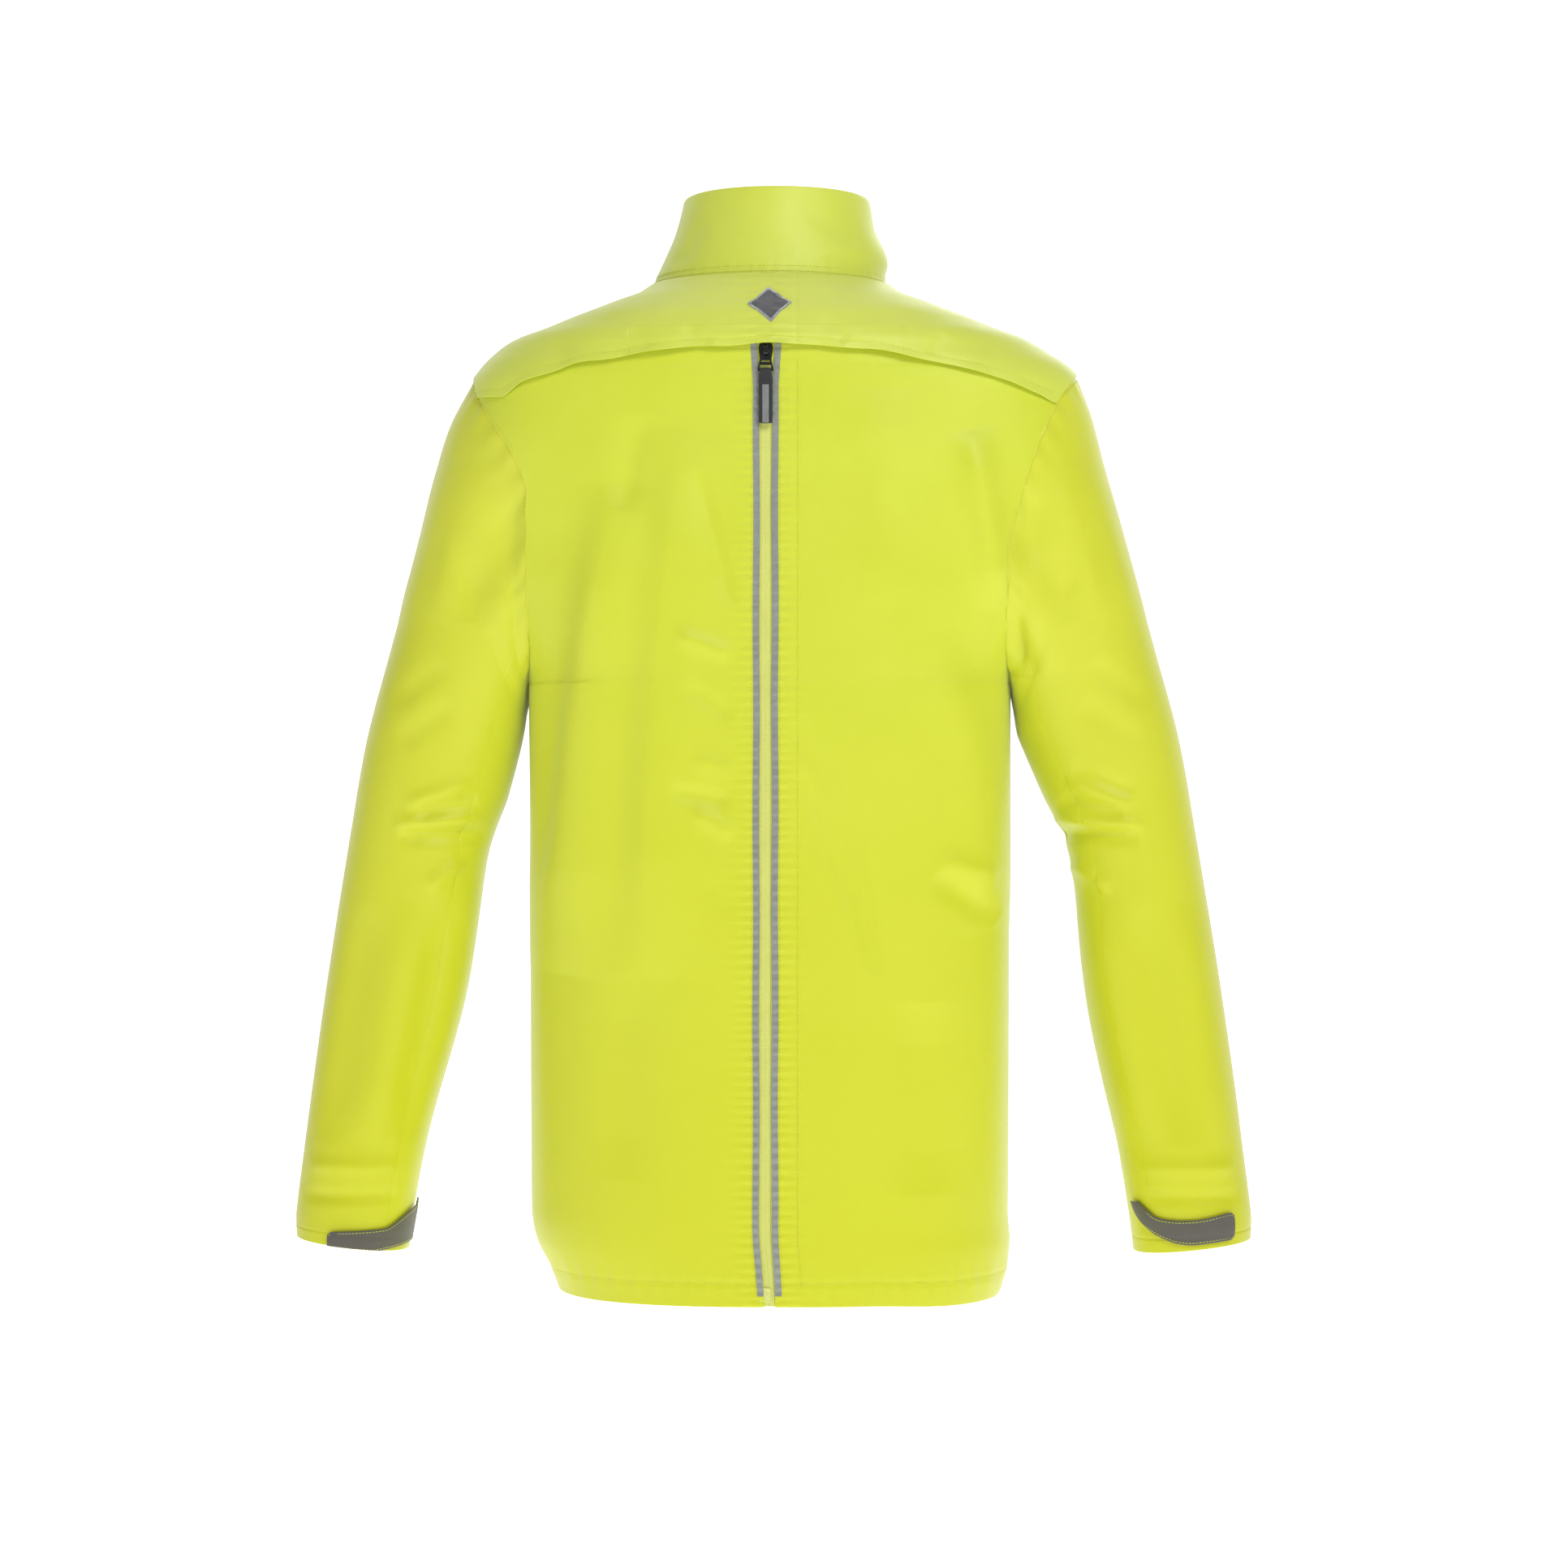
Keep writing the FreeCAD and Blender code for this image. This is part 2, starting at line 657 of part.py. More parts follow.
def make_front_zip():
    zip_chain("front_zip", front_frame, "3", "Sizes.front_zip_top", True)
    top = size("front_zip_top") - size("slider_below_top")
    make_slider("front_slider", front_frame, "Sizes.front_zip_top - Sizes.slider_below_top")
    make_puller("front_puller", front_frame, top)
    make_tab("front_pull_tab", front_frame, top)
    add_retainer("front", front_frame)


def make_pocket_zips():
    for side, frame in pocket_frames.items():
        zip_chain(f"pocket_zip_{side}", frame, "1", "Sizes.pocket_zip_length - 1", False)
        make_slider(f"pocket_slider_{side}", frame, "Sizes.pocket_zip_length - Sizes.slider_below_top")
        make_puller(f"pocket_puller_{side}", frame, size("pocket_zip_length") - size("slider_below_top"))


def make_trim():
    """Blank diamond badge on the yoke and the hanger loop inside the neck."""
    half = size("badge_width") / 2
    tall = size("badge_height") / 2
    height = size("flap_hinge_height") + 1 + tall
    out = torso_ring(height)[2] - size("yoke_raise") - CLOTH
    low = torso_ring(height - tall)[2]
    high = torso_ring(height + tall)[2]
    lean = -math.degrees(math.atan2(high - low, 2 * tall))
    frame = Placement(Vector(0, out, height), Rotation(Vector(1, 0, 0), lean))
    add_plate("back_badge", [(-half, 0), (0, -tall), (half, 0), (0, tall)], [], "Sizes.badge_thick", frame,
              Vector(0, -2.6, 0))
    inside = Placement(Vector(0, COLLAR[0][2] + CLOTH + GAP + LINING + 3, NECK - 6), Rotation())
    wide = "0.5 * Sizes.loop_width"
    block = add_box("hanger_block", ("-" + wide, wide), ("0", "Sizes.loop_reach"),
                    ("0", "Sizes.loop_height"), inside)
    hollow = add_box("hanger_hollow", ("-" + wide + " + 1.4", wide + " - 1.4"),
                     ("Sizes.loop_band", "Sizes.loop_reach - Sizes.loop_band"),
                     ("-1", "Sizes.loop_height + 1"), inside)
    add_join("hanger_loop", [block, hollow], "Part::Cut")


make_torso()
make_hem()
make_yoke()
make_collar()
make_inner_layers()
make_sleeves()
make_back_zip()
make_front_zip()
make_pocket_zips()
make_trim()
doc.recompute()

for item in doc.Objects:
    bad = [state for state in item.State if state in ("Invalid", "Error")]
    if bad:
        raise RuntimeError(f"{item.Name} is {bad}")
for part in subparts:
    if part.Shape.isNull() or not part.Shape.isValid():
        raise RuntimeError(f"{part.Label} has no valid shape")

os.makedirs("parts", exist_ok=True)
for part in subparts:
    part.Shape.exportStep(f"parts/{part.Label}.step")
print(len(subparts), "sub-parts")
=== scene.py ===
import bpy
import bmesh
import json
import math
import numpy as np
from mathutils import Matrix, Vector

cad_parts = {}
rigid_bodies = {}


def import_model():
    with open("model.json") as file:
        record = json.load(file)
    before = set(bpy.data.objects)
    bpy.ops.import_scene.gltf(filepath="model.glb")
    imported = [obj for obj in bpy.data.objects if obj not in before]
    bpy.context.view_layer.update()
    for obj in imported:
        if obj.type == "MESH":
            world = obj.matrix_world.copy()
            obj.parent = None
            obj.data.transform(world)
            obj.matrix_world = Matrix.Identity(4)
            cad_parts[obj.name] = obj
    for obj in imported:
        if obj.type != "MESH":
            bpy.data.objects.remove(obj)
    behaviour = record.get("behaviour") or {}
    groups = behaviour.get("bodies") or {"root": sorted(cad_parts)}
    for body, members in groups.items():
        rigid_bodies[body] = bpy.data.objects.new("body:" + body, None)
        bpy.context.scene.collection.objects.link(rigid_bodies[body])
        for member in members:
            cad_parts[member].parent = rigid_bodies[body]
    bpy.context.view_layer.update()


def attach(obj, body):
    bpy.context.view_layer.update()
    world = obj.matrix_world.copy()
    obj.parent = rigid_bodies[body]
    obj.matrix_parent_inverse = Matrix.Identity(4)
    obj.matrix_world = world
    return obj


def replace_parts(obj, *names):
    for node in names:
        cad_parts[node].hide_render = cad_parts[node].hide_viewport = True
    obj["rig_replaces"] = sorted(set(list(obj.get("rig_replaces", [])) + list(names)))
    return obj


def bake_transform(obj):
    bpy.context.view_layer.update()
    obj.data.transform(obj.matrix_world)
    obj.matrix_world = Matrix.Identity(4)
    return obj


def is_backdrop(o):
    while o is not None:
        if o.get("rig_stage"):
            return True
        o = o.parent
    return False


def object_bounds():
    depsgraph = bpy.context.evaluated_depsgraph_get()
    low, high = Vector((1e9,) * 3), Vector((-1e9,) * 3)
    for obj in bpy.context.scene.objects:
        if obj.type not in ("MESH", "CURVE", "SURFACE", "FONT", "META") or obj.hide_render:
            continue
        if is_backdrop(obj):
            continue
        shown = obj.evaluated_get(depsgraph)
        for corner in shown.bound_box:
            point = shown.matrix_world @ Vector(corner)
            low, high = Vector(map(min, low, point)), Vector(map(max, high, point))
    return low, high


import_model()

# ------------------------------------------------------------------ sizes, in millimetres
MM = 0.001
SHELL = 0.7          # cloth thickness as drawn
EDGE = 4.3           # half the gap between the two cloth edges over a zip
NECK = 759.0
COLLAR_TOP = 826.0
HEM_STITCH = 17.0
FRONT_AT_HEM, FRONT_LEAN = 136.0, 0.075
BACK_AT_HEM, BACK_LEAN = -136.0, 0.018
FRONT_POWER = 2.6
SLEEVE_POWER = 2.2
YOKE_RAISE = 3.2
BACK_DEPTH, SLEEVE_DEPTH = 1.35, 1.5     # how strong the folds are

# Torso rings: height, half width, power of the back half's curve.
TORSO = [(0, 171, 2.6), (20, 177, 2.6), (40, 181, 2.6), (280, 182, 2.6), (455, 183, 2.6), (540, 226, 2.6),
         (620, 247, 2.6), (679, 236.5, 2.5), (692, 227.5, 2.4), (705.5, 210, 2.3), (715, 194.5, 2.3),
         (724, 171.5, 2.2), (733.5, 148.5, 2.2), (743, 123, 2.1), (751, 101, 2.0), (NECK, 90, 2.0)]
# Upper back: height, back surface.
UPPER_BACK = [(650, BACK_AT_HEM + BACK_LEAN * 650), (706, -123.3), (717, -120.4), (726.5, -115),
              (736, -108.5), (746, -100), (754, -91), (NECK, -83)]
# Collar rings: height, half width, back surface.
COLLAR = [(NECK, 90, -83), (775, 84, -79), (800, 76, -73), (818, 72.5, -70), (COLLAR_TOP, 71, -69)]
# Sleeve rings of the right sleeve: under-arm x, z, outer x, z, half depth, centre y.
SLEEVE = [(183.5, 455, 230.5, 682, 70, -16), (184.5, 442, 243, 657, 70, -16), (186, 430, 258, 605, 68, -16),
          (187.5, 420, 275, 545, 65, -15), (190, 408, 292, 483, 62, -14), (200, 372, 311, 412, 58, -13),
          (221, 322, 324, 339, 54, -11), (240, 211, 342, 229, 50, -8), (266, 99, 358.5, 114, 47, -4),
          (275, 43, 366.5, 50, 45, -2), (277, 26, 366, 36, 45, -2)]
# Free edge of the back yoke from left to right: x, z.
YOKE_EDGE = [(-240, 666), (-215, 667.5), (-200, 667.5), (-190, 672), (-180, 677.5), (-166, 681), (-151, 684.5),
             (-138, 688.5), (-115, 692.5), (-81, 697.5), (-40, 700.5), (0, 702), (60, 699.5), (104, 693.5),
             (138, 686.5), (172, 677.5), (200, 668.5), (214, 662.5), (240, 660)]
# The armhole's crease, seen from behind: z, distance from the middle, for the right and the left.
ARM_RIGHT = [(455, 183), (480, 177), (555, 176), (570, 180), (608, 191), (664, 214), (687, 231)]
ARM_LEFT = [(455, 183), (480, 178), (600, 177), (625, 188), (666, 222), (687, 231)]
ARM_LOW, ARM_HIGH = 455.0, 687.0
POCKET_X, POCKET_BOTTOM, POCKET_ZIP = 112.0, 112.0, 165.0
POCKET_SLOT, POCKET_LEAN = 164.6, -0.026     # height of the cut in the cloth, and how it leans inwards


# ------------------------------------------------------------------ curves
def smooth_table(rows, at):
    """A table's columns at given places: monotone cubics through its rows."""
    rows = np.array(rows, float)
    at = np.clip(np.asarray(at, float), rows[0, 0], rows[-1, 0])
    x = rows[:, 0]
    gap = np.diff(x)
    out = []
    for y in rows[:, 1:].T:
        slope = np.diff(y) / gap
        tangent = np.zeros(len(x))
        same = slope[:-1] * slope[1:] > 0
        left, right = 2 * gap[1:] + gap[:-1], gap[1:] + 2 * gap[:-1]
        safe_a = np.where(same, slope[:-1], 1)
        safe_b = np.where(same, slope[1:], 1)
        tangent[1:-1] = np.where(same, (left + right) / (left / safe_a + right / safe_b), 0)
        tangent[0], tangent[-1] = slope[0], slope[-1]
        i = np.clip(np.searchsorted(x, at, side="right") - 1, 0, len(gap) - 1)
        t = (at - x[i]) / gap[i]
        out.append((2 * t**3 - 3 * t**2 + 1) * y[i] + (t**3 - 2 * t**2 + t) * gap[i] * tangent[i]
                   + (3 * t**2 - 2 * t**3) * y[i + 1] + (t**3 - t**2) * gap[i] * tangent[i + 1])
    return out


def power_of(value, power):
    """One coordinate of a superellipse from its sine or cosine."""
    return np.sign(value) * np.abs(value) ** (2 / power)


def step(low, high, value):
    """0 below low, 1 above high, smooth between."""
    t = np.clip((value - low) / (high - low), 0, 1)
    return t * t * (3 - 2 * t)


# ------------------------------------------------------------------ plain surfaces and folds
def torso_ring(z):
    """Half width, power of the back half, back and front of the torso at a height."""
    half, power = smooth_table(TORSO, z)
    back = np.where(z > 650, smooth_table(UPPER_BACK, z)[0], BACK_AT_HEM + BACK_LEAN * z)
    return half, power, back, FRONT_AT_HEM - FRONT_LEAN * z


def torso_base(g, z):
    """Point of the torso at angle g (0 the wearer's right, -pi/2 the back) and height z."""
    half, power, back, front = torso_ring(z)
    power = np.where(np.sin(g) > 0, FRONT_POWER, power)
    middle, reach = (front + back) / 2, (front - back) / 2
    return np.stack([half * power_of(np.cos(g), power), middle + reach * power_of(np.sin(g), power),
                     z + 0 * g], -1)


def torso_angle(x, z, front=False):
    """The angle where the ring at z passes x."""
    half, power, _, _ = torso_ring(np.asarray(z, float))
    power = FRONT_POWER if front else power
    turn = np.arccos(np.clip(power_of(np.clip(x / half, -1, 1), 4 / power), -1, 1))
    return turn if front else -turn


def side_of(g, side):
    """An angle worked out on the wearer's right, taken to the side asked for."""
    return g if side > 0 else np.pi - g


def angle_at(x, z, front=False):
    """The angle where the ring at z passes x, on either side."""
    g = torso_angle(np.abs(x), z, front)
    return np.where(x < 0, np.pi - g, g)


def collar_base(g, z):
    """Point of the collar at angle g and height z."""
    half, back = smooth_table(COLLAR, z)
    front = FRONT_AT_HEM - FRONT_LEAN * z
    power = np.where(np.sin(g) > 0, FRONT_POWER, 2.0)
    middle, reach = (front + back) / 2, (front - back) / 2
    return np.stack([half * power_of(np.cos(g), power), middle + reach * power_of(np.sin(g), power),
                     z + 0 * g], -1)


def arm_x(z, side):
    """The armhole's distance from the middle at a height."""
    return np.where(side > 0, smooth_table(ARM_RIGHT, z)[0], smooth_table(ARM_LEFT, z)[0])


def side_angle(z, side, front=False):
    """The angle where a panel ends: the side, or the armhole where it is cut out."""
    z = np.asarray(z, float)
    angle = torso_angle(arm_x(z, side), z, front)
    return np.where((z > ARM_LOW) & (z < ARM_HIGH), angle, 0.0)


# Folds are strokes over the cloth as seen from behind: points (x, z), how far each reaches to its
# left and right, and its height (a valley is negative).
ELBOW = 342.0            # height of the elbow's deepest crease
CREASE = 5.5             # reach of a sharp crease


def slope(top, bottom, bow=0.0):
    """A fold's three points: it falls from top to bottom and bows sideways in its middle."""
    return [top, ((top[0] + bottom[0]) / 2 + bow, (top[1] + bottom[1]) / 2), bottom]


def back_folds():
    """Long drapes from the shoulder blades, then the short creases beside the zip."""
    folds = [(slope((-110, 600), (-155, 240), -4), 18, 34, 8.0),
             (slope((-60, 640), (-90, 240), -4), 16, 34, 5.0),
             (slope((-150, 500), (-165, 310)), 14, 12, -2.5),
             (slope((-90, 650), (-105, 580)), 12, 10, -2.0),
             (slope((-50, 610), (-25, 510)), 7, 6, -2.0),
             (slope((150, 640), (170, 510)), 12, 14, 5.5),
             (slope((125, 490), (160, 270), 12), 20, 18, 4.0),
             (slope((85, 670), (90, 510)), 22, 26, 2.2),
             (slope((115, 220), (115, 80)), 20, 24, -2.4),
             (slope((-105, 240), (-105, 90)), 20, 22, -2.0),
             (slope((25, 430), (80, 240), 8), 6, 9, -2.6),
             (slope((25, 390), (60, 290), 4), 5, 6, -1.8)]
    for turn in range(7):            # uneven, so that they don't look like rungs
        z = 490 - 28 * turn - 12 * math.sin(2.3 * turn)
        length = 32 + 12 * math.sin(1.7 * turn + 1)
        start = -24 - length + 6 * math.sin(3.1 * turn)
        drop = 16 + 9 * math.sin(1.3 * turn)
        folds.append((slope((start, z), (start + length, z - drop), 2), 6, 7, 1.7 * math.cos(2.4 * turn)))
    for turn, drop in enumerate((15, 45)):
        folds.append((slope((125, 325 - 10 * turn), (170, 325 - drop)), 8, 11, -2.4 if turn else 1.6))
    return folds


FRONT_FOLDS = [
    ([(-60, 640), (-74, 520), (-70, 400), (-84, 280)], 16, 20, -3.5),
    ([(-110, 610), (-120, 500), (-136, 380), (-140, 260)], 16, 12, -4.0),
    ([(58, 650), (66, 540), (78, 420), (72, 300)], 18, 14, -3.2),
    ([(118, 620), (124, 500), (138, 390), (146, 270)], 14, 18, -4.2),
    ([(20, 520), (40, 470), (74, 430)], 6, 8, -1.8),
    ([(-20, 420), (-42, 372), (-76, 330)], 6, 8, -1.8),
    ([(-84, 120), (-60, 80), (-24, 50)], 12, 10, -1.8),
    ([(84, 130), (58, 84), (24, 60)], 12, 10, -1.8),
]


def sleeve_point(z, share, side):
    """A place on the sleeve: height, and share of its width from the inner edge to the outer."""
    rows = np.array(SLEEVE)[::-1]
    inner, outer = np.interp(z, rows[:, 1], rows[:, 0]), np.interp(z, rows[:, 3], rows[:, 2])
    return side * (inner + share * (outer - inner)), z


def elbow_folds(side, count):
    """Creases that fan out from the inner elbow, softer the higher they lie."""
    folds = []
    for turn in range(count):
        start, end, low = 0.07 * turn, 0.58 + 0.08 * math.sin(2.2 * turn), ELBOW + 7.5 * turn
        line = [sleeve_point(low + 6 * turn * (1 - t), start + t * (end - start), side) for t in (0, 0.5, 1)]
        folds.append((line, CREASE, CREASE, (2.6 if turn % 2 else -3.0) * 0.84 ** turn))
    return folds


def sleeve_folds(side):
    """One sleeve's folds, from the armhole down to the cuff."""
    right = side > 0
    folds = elbow_folds(side, 5 if right else 4)
    low, top = (460, 560) if right else (490, 620)
    for off, height in ((9, -6.0), (24, 2.6)):
        line = [(side * float(arm_x(z, side) + off), z) for z in (top, (top + low) / 2, low)]
        folds.append((line, 10, 11, height))
    for z in (548, 518):
        line = [sleeve_point(z + d, 0.06 + 0.08 * i, side) for i, d in enumerate((0, 3, 4))]
        folds.append((line, 6, 6, -1.1))
    for share, height in ((0.30, -2.2), (0.55, 1.6), (0.80, 1.4)):
        line = [sleeve_point(z, share + (620 - z) / 2000, side) for z in (620, 560, 500)]
        folds.append((line, 12, 12, height))
    for z, share in ((470, 0.5), (440, 0.4)):
        folds.append(([sleeve_point(z - 30 * t, share + t / 3, side) for t in (0, 0.5, 1)], 9, 9, -1.1))
    turn_down = [sleeve_point(ELBOW - 20 - d, 0.08 + d / 90, side) for d in (0, 10, 20)]
    folds.append((turn_down, 5, 6, 2.4))
    forearm = ((0.20, 3.0), (0.50, -2.4), (0.80, 1.6)) if right else ((0.15, -3.0), (0.40, 2.4), (0.70, -2.0))
    for share, height in forearm:
        folds.append(([sleeve_point(z, share, side) for z in (290, 200, 110)], 13, 14, height))
    for z, height in ((70, -1.6), (92, 1.4)):
        folds.append(([sleeve_point(z, share, side) for share in (0.1, 0.5, 0.9)], 5, 5, height))
    return folds


def stroke_height(x, z, strokes):
    """Height of all strokes over the points (x, z)."""
    total = np.zeros(np.broadcast(x, z).shape)
    for points, left, right, height in strokes:
        p = np.array(points, float)
        at = np.linspace(0, len(p) - 1, 6 * len(p))
        line = np.stack(smooth_table(np.column_stack([np.arange(len(p)), p]), at), -1)
        best = np.full(total.shape, 1e9)
        side = np.zeros(total.shape)
        along = np.zeros(total.shape)
        for i, (a, b) in enumerate(zip(line, line[1:])):
            d = b - a
            t = np.clip(((x - a[0]) * d[0] + (z - a[1]) * d[1]) / (d @ d), 0, 1)
            dx, dz = x - a[0] - t * d[0], z - a[1] - t * d[1]
            far = np.hypot(dx, dz)
            near = far < best
            best = np.where(near, far, best)
            beside = dx * abs(d[1]) + dz * abs(d[0]) * np.sign(d[0] * d[1] + 1e-9)
            side = np.where(near, np.sign(beside), side)
            along = np.where(near, (i + t) / (len(line) - 1), along)
        reach = np.where(side < 0, left, right)
        fade = np.clip(np.sin(np.pi * along) * 1.6, 0, 1) ** 0.8
        total += height * fade * np.exp(-(best / reach) ** 2)
    return total


def puckers(along, off, length, reach, height):
    """Small waves of the cloth beside a line of stitches."""
    wave = np.sin(along * 2 * np.pi / length + 1.7 * np.sin(along / 31.0) + 0.9 * np.sin(along / 11.0))
    return height * wave * np.exp(-(off / reach) ** 2)


def torso_height(g, z):
    """How far the torso's cloth stands off its plain shape."""
    x = torso_base(g, z)[..., 0]
    behind = np.sin(g) < 0
    calm = step(0, 12, z) * (1 - step(735, 757, z)) * step(5, 16, np.abs(x))
    folds = np.where(behind, BACK_DEPTH * stroke_height(x, z, back_folds()), stroke_height(x, z, FRONT_FOLDS))
    seam = puckers(z, np.abs(x) - 6, 7.0, 14, 0.5)
    facing = np.where(behind & (x > 0), -0.45 * np.exp(-((x - 22) / 1.2) ** 2), 0)
    hem = -0.55 * np.exp(-((z - HEM_STITCH) / 1.6) ** 2) + puckers(x, z - HEM_STITCH, 13.0, 9, 0.5)
    return folds * calm + seam * step(4, 7, np.abs(x)) + (facing + hem) * step(6, 12, np.abs(x))


def settle(p):
    """The way this jacket hangs a little off centre: left shoulder, hem and right corner."""
    x, z = p[..., 0].copy(), p[..., 2].copy()
    left = step(170, 235, -x) * step(560, 660, z) * (1 - step(690, 720, z))
    low = 1 - step(0, 60, z)
    p[..., 0] += 9.5 * left + low * (3.0 + np.where(x < 0, 7.0, 2.5) * np.abs(x) / 171)
    p[..., 2] -= 1.8 * step(90, 150, np.abs(x)) * step(690, 712, z)
    p[..., 2] -= 3.0 * (1 - step(0, 45, z)) * step(70, 140, x) * step(20, 60, -p[..., 1])
    return p


def torso(g, z, out=0.0):
    """The torso's cloth, with its folds, or a layer that far outside it."""
    g, z = np.broadcast_arrays(np.asarray(g, float), np.asarray(z, float))
    tiny = 1e-3
    point = torso_base(g, z)
    across = torso_base(g + tiny, z) - torso_base(g - tiny, z)
    up = torso_base(g, np.clip(z + 0.3, 0, NECK)) - torso_base(g, np.clip(z - 0.3, 0, NECK))
    normal = np.cross(across, up)
    normal /= np.linalg.norm(normal, axis=-1, keepdims=True)
    point = point + normal * (torso_height(g, z) + out)[..., None]
    return settle(point)


def sleeve_base(angle, v, side):
    """Point of a sleeve: angle 0 its outside, -pi/2 its back; v runs from the armhole (0) to the cuff (1)."""
    rows = np.column_stack([np.linspace(0, 1, len(SLEEVE)), np.array(SLEEVE)])
    low_x, low_z, high_x, high_z, depth, middle = smooth_table(rows, v)
    if side > 0:
        low_x = low_x + 9 * np.exp(-((v - 0.55) / 0.12) ** 2)
    else:
        low_x = low_x - 7 * np.exp(-((v - 0.66) / 0.10) ** 2)
        high_x = high_x - 3.7 * step(0.12, 0.3, v)
    half = np.hypot(high_x - low_x, high_z - low_z) / 2
    ux, uz = (high_x - low_x) / (2 * half), (high_z - low_z) / (2 * half)
    c, s = power_of(np.cos(angle), SLEEVE_POWER), power_of(np.sin(angle), SLEEVE_POWER)
    return np.stack([side * ((high_x + low_x) / 2 + ux * half * c), middle + depth * s,
                     (high_z + low_z) / 2 + uz * half * c], -1)


def armhole(angle, side):
    """The armhole's seam on the torso's cloth, by the sleeve's angle."""
    share = (1 + np.cos(angle)) / 2
    z = ARM_LOW + (ARM_HIGH - ARM_LOW) * np.clip(share, 1e-4, 1 - 1e-4)
    back, front = side_angle(z, side), side_angle(z, side, True)
    g = np.where(np.sin(angle) > 0, front, back)
    return torso(side_of(g, side), z)


def sleeve(angle, v, side, out=0.0):
    """A sleeve's cloth with its folds; it grows out of the armhole's seam."""
    angle, v = np.broadcast_arrays(np.asarray(angle, float), np.asarray(v, float))
    tiny = 1e-3
    point = sleeve_base(angle, v, side)
    around = sleeve_base(angle + tiny, v, side) - sleeve_base(angle - tiny, v, side)
    along = (sleeve_base(angle, np.clip(v + tiny, 0, 1), side)
             - sleeve_base(angle, np.clip(v - tiny, 0, 1), side))
    normal = np.cross(along, around) * side
    normal /= np.maximum(np.linalg.norm(normal, axis=-1, keepdims=True), 1e-12)
    strokes = sleeve_folds(side)
    folds = SLEEVE_DEPTH * stroke_height(point[..., 0], point[..., 2], strokes)
    folds = folds * np.where(np.sin(angle) < 0, 1.0, 0.6) * step(0, 0.06, v) * (1 - step(0.97, 1, v))
    cuff = -0.5 * np.exp(-((v - 0.93) / 0.004) ** 2)
    head = puckers(angle * 62, v * 420, 12.0, 22, 0.7) * step(0.0, 0.015, v)
    height = ARM_LOW + (ARM_HIGH - ARM_LOW) * (1 + np.cos(angle)) / 2
    groove = -5.0 * np.exp(-((v - 0.07) / 0.045) ** 2) * step(455, 500, height) * (1 - step(585, 650, height))
    groove = groove * step(0, 0.02, v)
    point = point + normal * (folds + cuff + head + groove + out)[..., None]
    root = armhole(angle, side) - sleeve_base(angle, np.zeros_like(v), side)
    return point + root * (1 - step(0, 0.2, v))[..., None]


def collar(g, z, out=0.0):
    """The collar's cloth with its creases, or a layer that far outside it."""
    g, z = np.broadcast_arrays(np.asarray(g, float), np.asarray(z, float))
    tiny = 1e-3
    point = collar_base(g, z)
    across = collar_base(g + tiny, z) - collar_base(g - tiny, z)
    up = collar_base(g, np.minimum(z + 0.3, COLLAR_TOP)) - collar_base(g, np.maximum(z - 0.3, NECK))
    normal = np.cross(across, up)
    normal /= np.linalg.norm(normal, axis=-1, keepdims=True)
    behind = np.sin(g) < 0
    creases = np.where(behind, stroke_height(point[..., 0], z, COLLAR_FOLDS), 0)
    seam = -0.6 * np.exp(-((z - NECK - 5) / 1.3) ** 2) + puckers(g * 80, z - NECK - 4, 9, 6, 0.25)
    return point + normal * (creases + seam + out)[..., None]


COLLAR_FOLDS = [
    ([(-50, 812), (-20, 790), (20, 776)], 9, 9, -1.1),
    ([(10, 818), (40, 800), (66, 784)], 8, 8, -0.9),
    ([(-72, 770), (-60, 784), (-54, 806)], 6, 7, -1.2),
    ([(30, 770), (52, 780), (74, 776)], 6, 6, 0.8),
]


# ------------------------------------------------------------------ meshes
def new_object(name, points, faces, uv=None):
    """A mesh object from points in millimetres."""
    mesh = bpy.data.meshes.new(name)
    mesh.from_pydata([tuple(p) for p in np.asarray(points) * MM], [], faces)
    if uv is not None:
        layer = mesh.uv_layers.new(name="cloth")
        corner = np.zeros(len(mesh.loops), np.int32)
        mesh.loops.foreach_get("vertex_index", corner)
        layer.data.foreach_set("uv", np.asarray(uv)[corner].astype(np.float32).ravel())
    mesh.polygons.foreach_set("use_smooth", [True] * len(mesh.polygons))
    mesh.update()
    obj = bpy.data.objects.new(name, mesh)
    bpy.context.scene.collection.objects.link(obj)
    return obj


